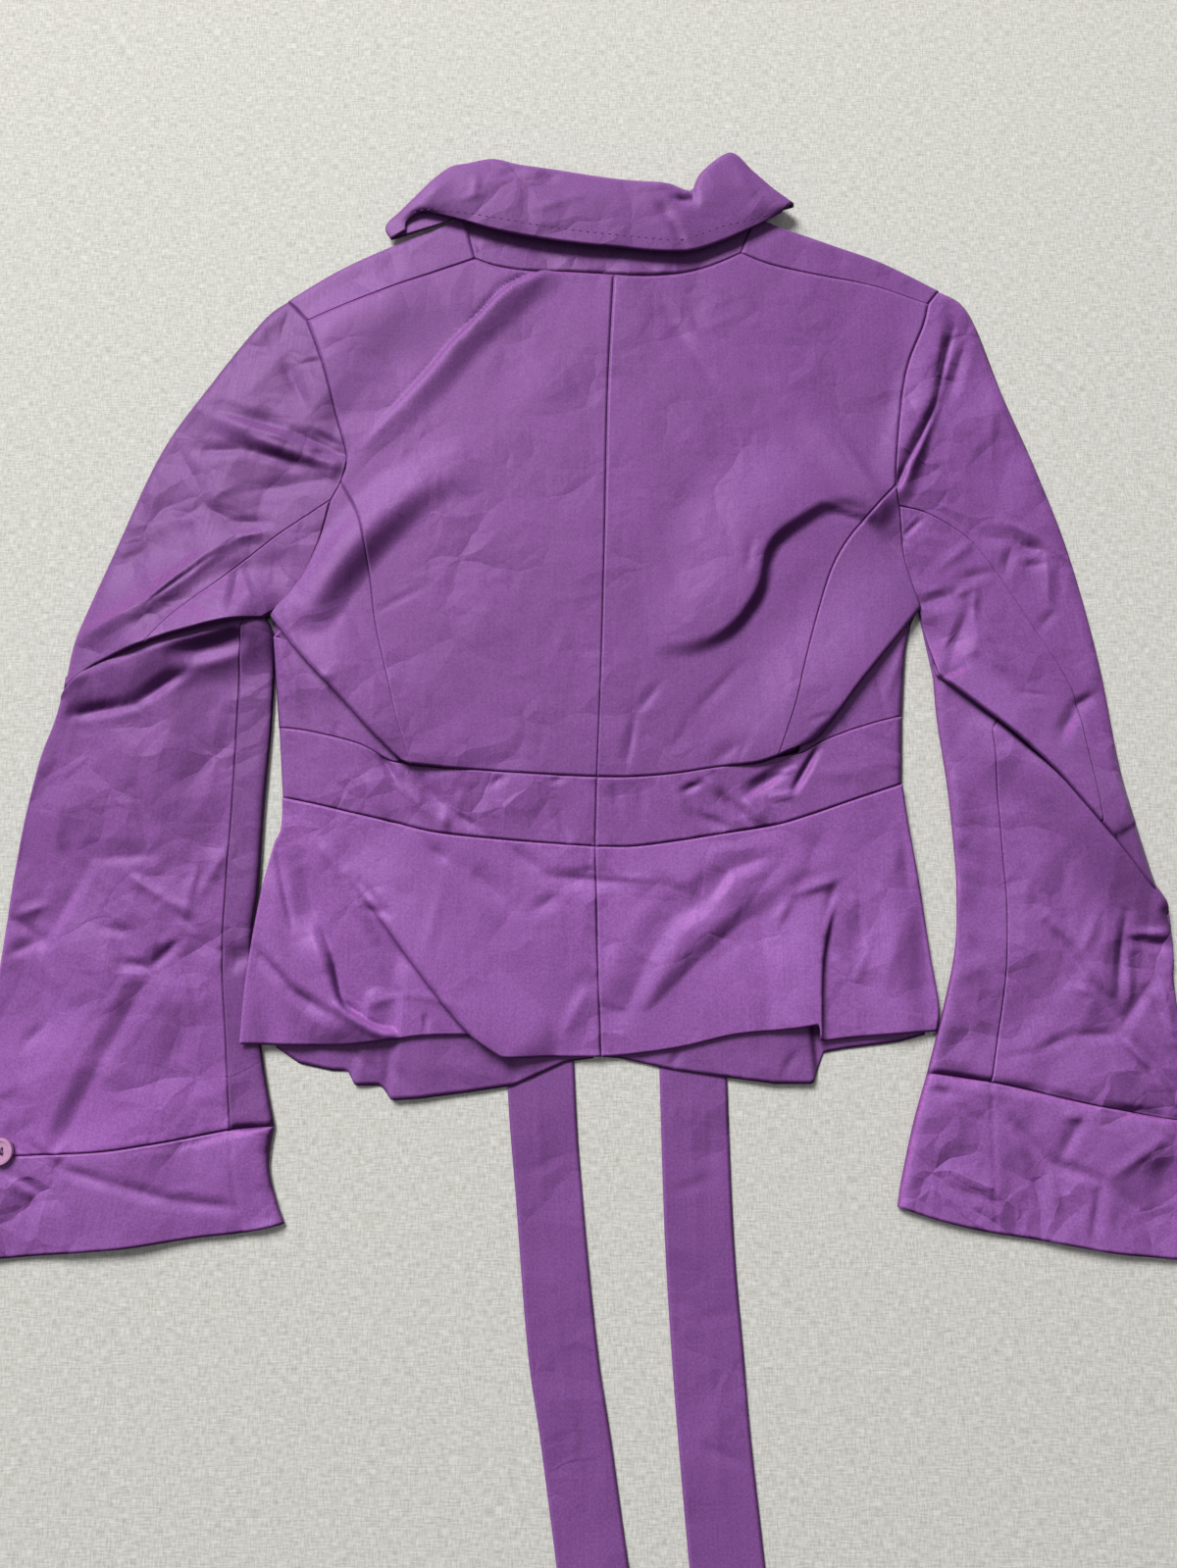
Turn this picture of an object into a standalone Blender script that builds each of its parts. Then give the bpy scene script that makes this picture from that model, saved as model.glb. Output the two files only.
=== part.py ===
# Cropped shawl-collar jacket of shot taffeta, laid out flat with its back up.
# Every cut panel is its own thin wall of cloth. Tables are in millimetres; +Z up, table at z = 0.
import math

import bmesh
import bpy
from mathutils import Vector

for old in list(bpy.data.objects):
    bpy.data.objects.remove(old)

# Driving sizes
MM = 0.001
CLOTH = 1.2  # wall of one layer
SEAM_GAP = 0.3  # between pieces that are sewn together
STACK = CLOTH + SEAM_GAP  # middle to middle of two layers that lie on each other
TABLE = CLOTH / 2  # middle of a layer on the table
UPPER = 4.2  # middle of the upper layer where no fold lifts it
EDGE = (UPPER + TABLE) / 2  # middle of a folded side edge
ROUND = 2.5  # how far in from a folded edge the cloth lies level again
ELBOW_CLEAR = 8.0  # from the elbow fold down to the strip at the inner edge
LAPEL_REACH, TIE_REACH, LIFT_FADE = 58.0, 30.0, 26.0  # how far a layer beneath lifts the one above
COLLAR_EDGE_Z, COLLAR_TOP_Z, COLLAR_UNDER_Z = 10.5, 13.0, 6.2
COLLAR_ROLL = math.radians(135)  # part of an arch that the fall follows up to its fold
BUTTON_RADIUS, BUTTON_THICK, BUTTON_RIM, BUTTON_DISH = 7.3, 2.6, 1.7, 0.7
BUTTON_CHAMFER, BUTTON_SIDES = 1.0, 24
HOLE_RADIUS, HOLE_OFFSET, HOLE_SIDES = 0.8, 1.5, 8

# Rows and columns of the panels
N_NECK, N_SHOULDER, N_STRIP = 5, 6, 3
N_ARM_TOP, N_ARM_UP, N_ARM_JOG, N_ARM_LOW = 1, 6, 1, 6
N_PRINCESS, N_BACK, N_RETURN, N_SIDE = 10, 11, 3, 3
N_FRONT, N_FRONT_SIDE = 6, N_ARM_JOG + N_ARM_LOW
WRAP = 2  # row from which the side front wraps over the side edge
N_CAP, N_SLEEVE, N_INNER, N_CUFF = 6, 10, 2, 4
N_BAND, N_PEPLUM, N_FRONT_PEPLUM, N_TIE, N_LAPEL = 3, 11, 7, 14, 8
N_COLLAR, N_FALL, N_UNDER = 22, 5, 3
LAPEL_ROWS = 11  # rows of the front edge that the lapel is sewn along
COLLAR_LENGTHWAYS = 2 * N_NECK

# Seams and edges as points (x, y), from the neck, the top or the side inwards
LEFT = {
    "neck": [(-72, 369), (-59, 364), (-41, 361), (-15, 360), (16, 358)],
    "shoulder": [(-72, 369), (-111, 354), (-135, 344), (-177, 326)],
    "shoulder_fold": [(-100, 389), (-126, 378), (-159, 361), (-190, 340)],
    "arm_top": [(-190, 340), (-177, 326)],
    "arm_up": [(-177, 326), (-165, 294), (-156, 261), (-149, 235), (-152, 218)],
    "arm_jog": [(-152, 218), (-158, 206)],
    "arm_low": [(-158, 206), (-164, 180), (-174, 156), (-191, 134)],
    "princess": [(-152, 218), (-143, 202), (-137, 185), (-132, 156), (-128, 128), (-120, 96),
                 (-113, 69), (-104, 41)],
    "overhang": [(-191, 134), (-170, 108), (-149, 86), (-128, 63), (-108, 43)],
    "tuck": [(-184, 130), (-165, 111), (-143, 90), (-121, 66), (-111, 42.5)],
    "side": [(-191, 134), (-189, 118), (-187, 100), (-183, 64)],
    "waist_back": [(-104, 41), (-81, 39), (-50, 37), (-17, 35), (5, 34)],
    "waist_return": [(-111, 42.5), (-117, 44), (-133, 53), (-149, 58)],
    "waist_side": [(-149, 58), (-167, 62), (-183, 64)],
    "waist_low": [(-179, 22), (-160, 18), (-139, 13), (-113, 7), (-88, 1), (-50, -3), (-11, -6), (4, -7)],
    "front_princess": [(-152, 218), (-140, 150), (-135, 52)],
    "front_waist": [(-135, 52), (-81, 39), (-17, 35), (2.8, 34)],
    "front_side_waist": [(-135, 52), (-160, 60), (-183, 64)],
    "front_band_low": [(-179, 22), (-113, 7), (-50, -3), (2.8, -7)],
    "front_edge": [(-100, 389), (-60, 300), (-20, 200), (0, 150), (2.8, 34)],
    "lapel": [(-126, 377), (-112, 330), (-70, 230), (-8, 140)],
    "peplum_side": [(-179, 22), (-179, 4), (-183, -7), (-188, -32), (-194, -77), (-196, -119)],
    "hem": [(-196, -119), (-145, -120), (-122, -119), (-99, -115), (-81, -114), (-64, -115)],
    "hem_step": [(-64, -115), (-47, -125)],
    "hem_columns": 6,
    "hem_middle": [(-47, -125), (-24, -126), (7, -126)],
    "front_peplum_side": [(-179, 22), (-177, -7), (-178, -77), (-177, -121)],
    "front_hem": [(-177, -121), (-163, -130), (-144, -134), (-136, -134), (-131, -142), (-117, -142),
                  (-110, -150), (-94, -149), (-70, -146), (-42, -142), (-13, -129), (2.8, -127)],
    "front_peplum_middle": [(2.8, -7), (2.8, -127)],
    "back_seam": [(-158, 206), (-179, 191), (-198, 176), (-220, 156), (-248, 131), (-262, 114)],
    "cap_edge": [(-190, 340), (-205, 327), (-234, 286), (-263, 239), (-287, 176), (-307, 119), (-311, 88)],
    "arm_pit": [(-191, 134), (-200, 130)],
    "elbow_inner": [(-262, 114), (-248, 119), (-222, 126), (-200, 130)],
    "elbow_outer": [(-262, 114), (-290, 103), (-311, 88)],
    "forearm_edge": [(-313, 80), (-316, 66), (-323, 42), (-330, -2), (-335, -67), (-339, -111),
                     (-346, -180)],
    "forearm_top": [(-313, 80), (-292, 95), (-250, 111), (-208, 118)],
    "inseam": [(-208, 118), (-208, 74), (-208, 22), (-209, -22), (-209, -68), (-205, -113), (-200, -166)],
    "forearm_inner": [(-200, 130), (-192, 112), (-190, 69), (-190, 16), (-191, -32), (-193, -67),
                      (-184, -128), (-176, -164)],
    "cuff_seam": [(-346, -180), (-324, -180), (-274, -178), (-244, -174), (-226, -171), (-200, -166)],
    "cuff_seam_inner": [(-200, -166), (-176, -164)],
    "cuff_edge": [(-346, -180), (-348, -236)],
    "cuff_inner": [(-176, -164), (-178, -185), (-173, -204), (-168, -216)],
    "cuff_hem": [(-348, -236), (-286, -231), (-251, -228), (-215, -223), (-188, -220), (-168, -216)],
    "tie_west": [(-49, -9), (-46, -133), (-40, -206), (-33, -282), (-26, -326), (-17, -387), (-9, -441)],
    "tie_east": [(-11, -9), (-8, -133), (-3, -206), (5, -282), (12, -326), (21, -387), (30, -441)],
    "button": (-326, -177),
}
RIGHT = {
    "neck": [(97, 373), (80, 365), (60, 359), (38, 357), (16, 358)],
    "shoulder": [(97, 373), (115, 365), (143, 358), (181, 350), (214, 337)],
    "shoulder_fold": [(119, 393), (153, 380), (186, 367), (222, 347)],
    "arm_top": [(222, 347), (214, 337)],
    "arm_up": [(214, 337), (210, 322), (199, 294), (192, 259), (188, 230), (187, 215)],
    "arm_jog": [(187, 215), (190, 202)],
    "arm_low": [(190, 202), (191, 176), (194, 157), (199, 138)],
    "princess": [(187, 215), (177, 203), (160, 184), (148, 164), (138, 135), (129, 104), (122, 77),
                 (111, 46)],
    "overhang": [(199, 138), (184, 120), (159, 90), (145, 71), (133, 57), (121, 51.5)],
    "tuck": [(193, 138), (178, 125), (152, 96), (139, 78), (129, 62), (123, 48)],
    "side": [(199, 138), (193, 124), (189.5, 108), (186, 71)],
    "waist_back": [(111, 46), (98, 42), (77, 40), (51, 36), (26, 34), (5, 34)],
    "waist_return": [(123, 48), (127, 49), (139, 56), (154, 62)],
    "waist_side": [(154, 62), (170, 67), (186, 71)],
    "waist_low": [(184, 30), (154, 20), (128, 11), (107, 5), (76, 0), (51, -4), (26, -7), (4, -7)],
    "front_princess": [(187, 215), (150, 150), (140, 56)],
    "front_waist": [(140, 56), (98, 42), (51, 36), (3.2, 34)],
    "front_side_waist": [(140, 56), (165, 65), (186, 71)],
    "front_band_low": [(184, 30), (128, 11), (51, -4), (3.2, -7)],
    "front_edge": [(119, 393), (78, 300), (32, 200), (8, 150), (3.2, 34)],
    "lapel": [(146, 380), (134, 330), (86, 230), (16, 140)],
    "peplum_side": [(184, 30), (186, 10), (192, -35), (196, -72), (199, -99), (197, -112)],
    "hem": [(197, -112), (168, -114), (145, -116), (130, -117)],
    "hem_step": [(130, -117), (126, -108)],
    "hem_columns": 4,
    "hem_middle": [(126, -108), (110, -111), (82, -114), (51, -121), (23, -125), (7, -126)],
    "front_peplum_side": [(184, 30), (186, -20), (190, -72), (191, -114)],
    "front_hem": [(191, -114), (176, -118), (144, -122), (133, -124), (126, -141), (105, -141), (74, -137),
                  (46, -133), (18, -127), (3.2, -126)],
    "front_peplum_middle": [(3.2, -7), (3.2, -126)],
    "back_seam": [(190, 202), (206, 198), (222, 189), (234, 179), (248, 159), (261, 136), (283, 97),
                  (291, 70), (294, 7)],
    "cap_edge": [(222, 347), (235, 339), (244, 322), (257, 279), (277, 222), (292, 171), (305, 104),
                 (314, 29), (329, -38)],
    "arm_pit": [(199, 138), (206, 96)],
    "elbow_inner": [(294, 7), (270, 37), (246, 61), (206, 96)],
    "elbow_outer": [(294, 7), (305, -7), (329, -38)],
    "forearm_edge": [(332, -46), (334, -58), (334, -73), (333, -85), (335, -109), (341, -135), (348, -163)],
    "forearm_top": [(332, -46), (301, -14), (266, 30), (236, 62)],
    "inseam": [(236, 62), (238, 40), (240, -15), (241, -39), (239, -70), (235, -99), (226, -140)],
    "forearm_inner": [(206, 96), (207, 69), (211, 29), (213, -10), (213, -35), (209, -73), (191, -135)],
    "cuff_seam": [(348, -163), (318, -159), (275, -151), (245, -144), (226, -140)],
    "cuff_seam_inner": [(226, -140), (191, -135)],
    "cuff_edge": [(348, -163), (353, -237)],
    "cuff_inner": [(191, -135), (182, -162), (174, -192), (171, -207)],
    "cuff_hem": [(353, -237), (321, -234), (288, -231), (252, -225), (219, -220), (193, -214), (171, -207)],
    "tie_west": [(38, -9), (40, -133), (42, -222), (45, -282), (48, -326), (53, -387), (58, -441)],
    "tie_east": [(76, -9), (78, -133), (80, -222), (84, -282), (87, -326), (93, -387), (98, -441)],
    "button": (339, -170),
}
CENTRE_BACK = [(16, 358), (12, 278), (10, 188), (8, 113), (5, 34)]
BAND_MIDDLE = [(5, 34), (4, -7)]
PEPLUM_MIDDLE = [(4, -7), (5, -56), (7, -126)]
COLLAR_LOWER = [(-121, 384), (-119, 392), (-112, 397), (-103, 398), (-80, 393), (-59, 387), (-33, 382),
                (-6, 378), (17, 376), (38, 373), (61, 372), (73, 374), (87, 378), (108, 389), (122, 397)]
COLLAR_FOLD = [(-130, 384), (-128, 392), (-121, 400), (-112, 409), (-91, 429), (-77, 433), (-61, 436),
               (-44, 432), (-24, 429), (17, 422), (49, 419), (65, 414), (72, 427), (91, 441), (106, 427),
               (118, 415), (131, 404)]
UNDER_COLLAR = [(-96, 390), (-83, 398), (-40, 398), (17, 394), (70, 392), (100, 399), (113, 394)]

# Largest folds: where, path of the crest, rise, how far it fades on the left and right of the path
FOLDS = [
    ("top", [(-34, 357), (-86, 308), (-151, 236)], 6.5, 34, 11),
    ("top", [(92, 305), (180, 203)], 6.0, 18, 22),
    ("top", [(178, 206), (152, 222), (128, 212), (101, 186), (93, 158), (76, 128), (43, 120)], 7.0, 16, 26),
    ("top", [(-180, 120), (-149, 86), (-108, 43)], 7.0, 55, 14),
    ("top", [(188, 124), (159, 89), (121, 51)], 7.0, 14, 50),
    ("top", [(-96, 50), (5, 43), (104, 54)], 3.5, 24, 10),
    ("top", [(-186, 176), (-235, 168), (-266, 140), (-300, 120)], 6.0, 16, 24),
    ("top", [(-262, 114), (-216, 127)], 6.5, 52, 14),
    ("top", [(-285, 104), (-276, 108)], 2.0, 36, 12),
    ("top", [(-158, 228), (-232, 262)], 3.5, 12, 12),
    ("top", [(218, 330), (214, 290), (202, 250), (190, 215)], 4.0, 22, 9),
    ("top", [(214, 90), (246, 61), (294, 7), (303, -5)], 7.0, 46, 12),
    ("top", [(205, 140), (262, 90)], 4.0, 16, 16),
    ("left_forearm", [(-262, 80), (-270, -30), (-268, -176)], 5.0, 52, 46),
    ("left_forearm", [(-246, -70), (-302, -184)], 4.0, 16, 24),
    ("right_forearm", [(262, 30), (276, -60), (288, -150)], 5.0, 46, 42),
    ("left_cuff", [(-268, -178), (-258, -228)], 2.6, 60, 60),
    ("right_cuff", [(288, -154), (280, -228)], 2.6, 60, 60),
    ("peplum", [(-136, -26), (-95, -78), (-66, -114), (-47, -125)], 8.0, 40, 9),
    ("peplum", [(136, -50), (129, -80), (127, -116)], 7.0, 4, 44),
    ("peplum", [(-182, -20), (-168, -118)], 3.0, 20, 16),
    ("peplum", [(170, -10), (178, -110)], 3.0, 18, 22),
    ("peplum", [(-188, -36), (-196, -119)], 3.2, 24, 24),
    ("front_peplum", [(-110, -152), (-104, -90)], 3.4, 5, 70),
    ("front_peplum", [(-131, -144), (-124, -95)], 2.0, 5, 18),
    ("front_peplum", [(126, -143), (122, -90)], 3.4, 60, 5),
]
CLOTH_SLOT, BUTTON_SLOT = "shot_taffeta", "button_resin"
COLOURS = {CLOTH_SLOT: (0.27, 0.09, 0.34, 1), BUTTON_SLOT: (0.52, 0.24, 0.42, 1)}


def even(points, count):
    """Points at even steps along a chain of straight lines."""
    steps = [math.dist(a, b) for a, b in zip(points, points[1:])]
    total = sum(steps)
    out = []
    for i in range(count + 1):
        want = total * i / count
        k = 0
        while k < len(steps) - 1 and want > steps[k]:
            want -= steps[k]
            k += 1
        f = min(1.0, want / steps[k])
        a, b = points[k], points[k + 1]
        out.append((a[0] + (b[0] - a[0]) * f, a[1] + (b[1] - a[1]) * f))
    return out


def curve(points, count, fine=12):
    """Even points on a smooth line through the given ones."""
    ends = [points[0]] + list(points) + [points[-1]]
    dense = []
    for p0, p1, p2, p3 in zip(ends, ends[1:], ends[2:], ends[3:]):
        for i in range(fine):
            t = i / fine
            dense.append(tuple(
                0.5 * (2 * b + (c - a) * t + (2 * a - 5 * b + 4 * c - d) * t * t
                       + (3 * b - a - 3 * c + d) * t ** 3)
                for a, b, c, d in zip(p0, p1, p2, p3)))
    dense.append(tuple(points[-1]))
    return even(dense, count)


def chain(*runs):
    """Runs that meet end to end, as one."""
    out = list(runs[0])
    for run in runs[1:]:
        out += run[1:]
    return out


def patch(top, bottom, left, right, bend=2):
    """Plan points filled in between four edges: straight rows, bent near the top and bottom edges."""
    rows, cols = len(left) - 1, len(top) - 1
    grid = []
    for r in range(rows + 1):
        v = r / rows
        row = []
        for c in range(cols + 1):
            u = c / cols
            row.append(tuple(
                (1 - u) * left[r][k] + u * right[r][k]
                + (1 - v) ** bend * (top[c][k] - (1 - u) * top[0][k] - u * top[-1][k])
                + v ** bend * (bottom[c][k] - (1 - u) * bottom[0][k] - u * bottom[-1][k]) for k in (0, 1)))
        grid.append(row)
    return grid


def toward(p, q, far):
    """A point moved from p toward q."""
    d = math.dist(p, q) or 1.0
    return (p[0] + (q[0] - p[0]) * far / d, p[1] + (q[1] - p[1]) * far / d)


def inset(grid, sides):
    """Draw in the sewn edges (t, b, l, r) by half the seam gap."""
    half = SEAM_GAP / 2
    if "t" in sides:
        grid[0] = [toward(p, q, half) for p, q in zip(grid[0], grid[1])]
    if "b" in sides:
        grid[-1] = [toward(p, q, half) for p, q in zip(grid[-1], grid[-2])]
    for row in grid:
        if "l" in sides:
            row[0] = toward(row[0], row[1], half)
        if "r" in sides:
            row[-1] = toward(row[-1], row[-2], half)
    return grid


def nearest(path, p):
    """Distance from p to a path, and how far it lies to the left (1) or right (-1) of it."""
    best, lean = 1e9, 0.0
    for a, b in zip(path, path[1:]):
        dx, dy = b[0] - a[0], b[1] - a[1]
        long = math.hypot(dx, dy)
        f = ((p[0] - a[0]) * dx + (p[1] - a[1]) * dy) / long ** 2
        f = min(1.0, max(0.0, f))
        d = math.dist(p, (a[0] + dx * f, a[1] + dy * f))
        if d < best:
            best = d
            lean = (dx * (p[1] - a[1]) - dy * (p[0] - a[0])) / long / max(d, 1e-6)
    return best, lean


def relief(where, p):
    """Height that the folds of one part of the jacket add at a plan point."""
    total = 0.0
    for place, path, rise, left, right in FOLDS:
        if place == where:
            d, lean = nearest(path, p)
            reach = (left + right) / 2 + (left - right) / 2 * lean
            if d < reach:
                total += rise * 0.5 * (1 + math.cos(math.pi * d / reach))
    return total


def lift(path, reach, p):
    """How far a layer rises where another lies beneath it."""
    d, _ = nearest(path, p)
    f = min(1.0, max(0.0, (reach + LIFT_FADE - d) / LIFT_FADE))
    return STACK * f * f * (3 - 2 * f)


def lay(grid, height):
    """Plan grid given its heights."""
    return [[(p[0], p[1], height(p)) for p in row] for row in grid]


def upper(where):
    return lambda p: UPPER + relief(where, p)


def rounded(grid, sides):
    """A column added close to each folded side edge (l, r), or halfway (h), so that the fold is narrow."""
    out = []
    for row in grid:
        row = list(row)
        if "l" in sides:
            row.insert(1, toward(row[0], row[1], ROUND))
        if "r" in sides:
            row.insert(-1, toward(row[-1], row[-2], ROUND))
        if "h" in sides:
            row.insert(-1, toward(row[-1], row[-2], math.dist(row[-1], row[-2]) / 2))
        out.append(row)
    return out


def flat(z):
    return lambda p: z


def at(row, z):
    return [(p[0], p[1], z) for p in row]


def turned(grid):
    """Rows and columns changed over."""
    return [list(col) for col in zip(*grid)]


MATERIALS = {}
for slot, rgba in COLOURS.items():
    MATERIALS[slot] = bpy.data.materials.new(slot)
    MATERIALS[slot].use_nodes = True
    MATERIALS[slot].node_tree.nodes["Principled BSDF"].inputs["Base Color"].default_value = rgba
    MATERIALS[slot].node_tree.nodes["Principled BSDF"].inputs["Roughness"].default_value = 0.45


def finish(name, bm, slot):
    bmesh.ops.recalc_face_normals(bm, faces=bm.faces)
    mesh = bpy.data.meshes.new(name)
    bm.to_mesh(mesh)
    bm.free()
    mesh.materials.append(MATERIALS[slot])
    part = bpy.data.objects.new(name, mesh)
    bpy.context.collection.objects.link(part)
    return part


def wall(name, *grids):
    """Cloth wall about the middle surface of one or more grids that share edges."""
    sheet = bmesh.new()
    known = {}

    def vert(p):
        key = tuple(round(c, 3) for c in p)
        if key not in known:
            known[key] = sheet.verts.new(p)
        return known[key]

    for grid in grids:
        for above, below in zip(grid, grid[1:]):
            for c in range(len(above) - 1):
                i, j, k, n = [vert(p) for p in (above[c], above[c + 1], below[c + 1], below[c])]
                if (i.co - k.co).length < (j.co - n.co).length:
                    halves = ((i, j, k), (i, k, n))
                else:
                    halves = ((i, j, n), (j, k, n))
                for half in halves:
                    sheet.faces.new(half)
    sheet.normal_update()
    body = bmesh.new()
    faces_up, faces_down = {}, {}
    for v in sheet.verts:
        n = v.normal.copy()
        if v.is_boundary and abs(n.z) > 0.6:
            n = Vector((0, 0, math.copysign(1, n.z)))
        faces_up[v] = body.verts.new((v.co + n * CLOTH / 2) * MM)
        faces_down[v] = body.verts.new((v.co - n * CLOTH / 2) * MM)
    for f in sheet.faces:
        body.faces.new([faces_up[v] for v in f.verts])
        body.faces.new([faces_down[v] for v in reversed(f.verts)])
    for e in sheet.edges:
        if e.is_boundary:
            a, b = e.verts
            body.faces.new([faces_up[a], faces_up[b], faces_down[b], faces_down[a]])
    sheet.free()
    return finish(name, body, CLOTH_SLOT)


# Collar stand: sewn into the back neck, runs up beneath the fall
left_neck, right_neck = curve(LEFT["neck"], N_NECK), curve(RIGHT["neck"], N_NECK)
neck = chain(left_neck, right_neck[::-1])
stand_top = curve(UNDER_COLLAR, COLLAR_LENGTHWAYS)
stand = inset(patch(neck, stand_top, even([neck[0], stand_top[0]], N_STRIP),
                    even([neck[-1], stand_top[-1]], N_STRIP)), "tblr")
stand_rise = COLLAR_UNDER_Z - STACK - UPPER
wall("collar_stand", [at(row, UPPER + stand_rise * i / N_STRIP) for i, row in enumerate(stand)])

# Collar fall: from its free lower edge up to the fold and back beneath to the stand
lower_edge = curve(COLLAR_LOWER, N_COLLAR)
fold_line = curve(COLLAR_FOLD, N_COLLAR)
fall = patch(lower_edge, fold_line, even([lower_edge[0], fold_line[0]], N_FALL),
             even([lower_edge[-1], fold_line[-1]], N_FALL), 1)
under_top = even(stand_top, N_COLLAR)
under = inset(patch(fold_line, under_top, even([fold_line[0], under_top[0]], N_UNDER),
                    even([fold_line[-1], under_top[-1]], N_UNDER), 1), "b")
fall_rows = []
for i, row in enumerate(fall[:-1]):
    f = i / N_FALL
    fall_rows.append(at(row, COLLAR_EDGE_Z + (COLLAR_TOP_Z - COLLAR_EDGE_Z) * math.sin(COLLAR_ROLL * f)))
fall_rows.append(at(fold_line, (COLLAR_TOP_Z + COLLAR_UNDER_Z) / 2))
fall_rows += [at(row, COLLAR_UNDER_Z) for row in under[1:]]
wall("collar", fall_rows)

centre_back = curve(CENTRE_BACK, N_ARM_UP + N_PRINCESS)
band_middle = even(BAND_MIDDLE, N_BAND)
peplum_middle = curve(PEPLUM_MIDDLE, N_PEPLUM)

for side, m in (("left", LEFT), ("right", RIGHT)):
    neck = left_neck if side == "left" else right_neck
    shoulder = curve(m["shoulder"], N_SHOULDER)
    arm_top = even(m["arm_top"], N_ARM_TOP)
    arm_up = curve(m["arm_up"], N_ARM_UP)
    arm_jog = even(m["arm_jog"], N_ARM_JOG)
    arm_low = curve(m["arm_low"], N_ARM_LOW)
    arm_under = chain(arm_jog, arm_low)
    princess = curve(m["princess"], N_PRINCESS)
    waist_back = curve(m["waist_back"], N_BACK)
    waist_return = curve(m["waist_return"], N_RETURN)
    waist_side = curve(m["waist_side"], N_SIDE)

    # Centre back panel, from the shoulder and neck seams to the waist seam
    back = patch(chain(shoulder[::-1], neck), waist_back, chain(arm_up, princess), centre_back)
    wall("back_" + side, lay(inset(back, "tblr"), upper("top")))

    # Side back panel: blouses out to a fold edge that hangs over the side front
    overhang = curve(m["overhang"], N_PRINCESS)
    bottom = even([princess[-1], overhang[-1]], len(arm_under) - 1)
    side_back = patch(princess, overhang, arm_under, bottom)
    wall("side_back_" + side, lay(inset(side_back, "tlr"), upper("top")))

    # Side front panel: lies on the table, wraps over the side edge and runs in beneath the fold
    side_edge = curve(m["side"], N_PRINCESS)
    tuck = curve(m["tuck"], N_PRINCESS)
    front_princess = curve(m["front_princess"], N_PRINCESS)
    front_side_waist = curve(m["front_side_waist"], N_FRONT_SIDE)
    side_waist = chain(waist_side[::-1], waist_return[::-1])
    below = rounded(inset(patch(arm_under, front_side_waist, front_princess, side_edge), "tlb"), "r")
    below = lay(below, flat(TABLE))
    wrap_top = even([side_edge[WRAP], tuck[WRAP]], len(side_waist) - 1)
    above = patch(wrap_top, side_waist, side_edge[WRAP:], tuck[WRAP:])
    above = lay(rounded(inset(above, "b"), "l"), flat(UPPER))
    for high, low in zip(above, below[WRAP:]):
        low[-1] = low[-1][:2] + (EDGE,)
        high[0] = low[-1]
    wall("side_front_" + side, below, above)

    # Front panel: lies on the table and wraps over the shoulder fold to the shoulder seam
    fold = curve(m["shoulder_fold"], N_SHOULDER)
    front_edge = curve(m["front_edge"], N_ARM_TOP + N_ARM_UP + N_PRINCESS)
    front_waist = curve(m["front_waist"], N_FRONT)
    neck_end = even([shoulder[0], fold[0]], N_STRIP)
    arm_end = even([shoulder[-1], fold[-1]], N_STRIP)
    strip = inset(patch(shoulder, fold, neck_end, arm_end), "tlr")
    front = patch(fold, front_waist[::-1], front_edge, chain(arm_top, arm_up, front_princess))
    front = turned(rounded(turned(inset(front, "blr")), "l"))
    strip = turned(rounded(turned(strip), "r"))

    def over_lapel(p):
        return TABLE + lift(m["front_edge"][:4], LAPEL_REACH, p)

    wall("front_" + side, lay(strip[:-1], upper("top")) + [at(strip[-1], EDGE + STACK / 2)]
         + lay(front[1:], over_lapel))

    # Lapel: the shawl collar's front run, turned back against the front, beneath it here
    roll = even(front_edge[:LAPEL_ROWS], N_LAPEL)
    lapel_edge = curve(m["lapel"], N_LAPEL)
    lapel_top = even([roll[0], lapel_edge[0]], N_STRIP)
    lapel_foot = even([roll[-1], lapel_edge[-1]], N_STRIP)
    lapel = patch(lapel_top, lapel_foot, roll, lapel_edge)
    wall("lapel_" + side, lay(lapel, flat(TABLE)))

    # Waistband, back and front halves
    band_top = chain(waist_side[::-1], waist_return[::-1], [waist_return[0], waist_back[0]], waist_back)
    columns = len(band_top) - 1
    waist_low = curve(m["waist_low"], columns)
    band = patch(band_top, waist_low, even([band_top[0], waist_low[0]], N_BAND), band_middle)
    band = lay(inset(band, "tblr"), flat(UPPER))
    for row in band:
        row[0] = row[0][:2] + (TABLE + STACK,)
    wall("waistband_back_" + side, band)
    front_top = chain(curve(m["front_side_waist"], N_FRONT_SIDE)[::-1], front_waist)
    front_low = curve(m["front_band_low"], N_FRONT_SIDE + N_FRONT)
    band = patch(front_top, front_low, even([front_top[0], front_low[0]], N_BAND),
                 even([front_top[-1], front_low[-1]], N_BAND))
    wall("waistband_front_" + side, lay(inset(band, "tblr"), flat(TABLE)))

    # Peplum, front half beneath with its pleats at the hem, over the tie
    tie_path = [((a[0] + b[0]) / 2, a[1]) for a, b in zip(m["tie_west"], m["tie_east"])]

    def front_peplum_height(p):
        return TABLE + lift(tie_path, TIE_REACH, p) + relief("front_peplum", p)

    pleats = len(m["front_hem"]) - 1
    front_hem = chain(*[even(list(pair), 2) for pair in zip(m["front_hem"], m["front_hem"][1:])])
    top = even(front_low, 2 * pleats)
    front_peplum = patch(top, front_hem, curve(m["front_peplum_side"], N_FRONT_PEPLUM),
                         even(m["front_peplum_middle"], N_FRONT_PEPLUM))
    wall("peplum_front_" + side, lay(inset(front_peplum, "tr"), front_peplum_height))

    # Peplum, back half on top; its left corner rests on the sleeve
    hem_middle = curve(m["hem_middle"], columns - m["hem_columns"] - 1)
    hem = chain(curve(m["hem"], m["hem_columns"]), even(m["hem_step"], 1), hem_middle)
    peplum = patch(waist_low, hem, curve(m["peplum_side"], N_PEPLUM), peplum_middle)

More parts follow.
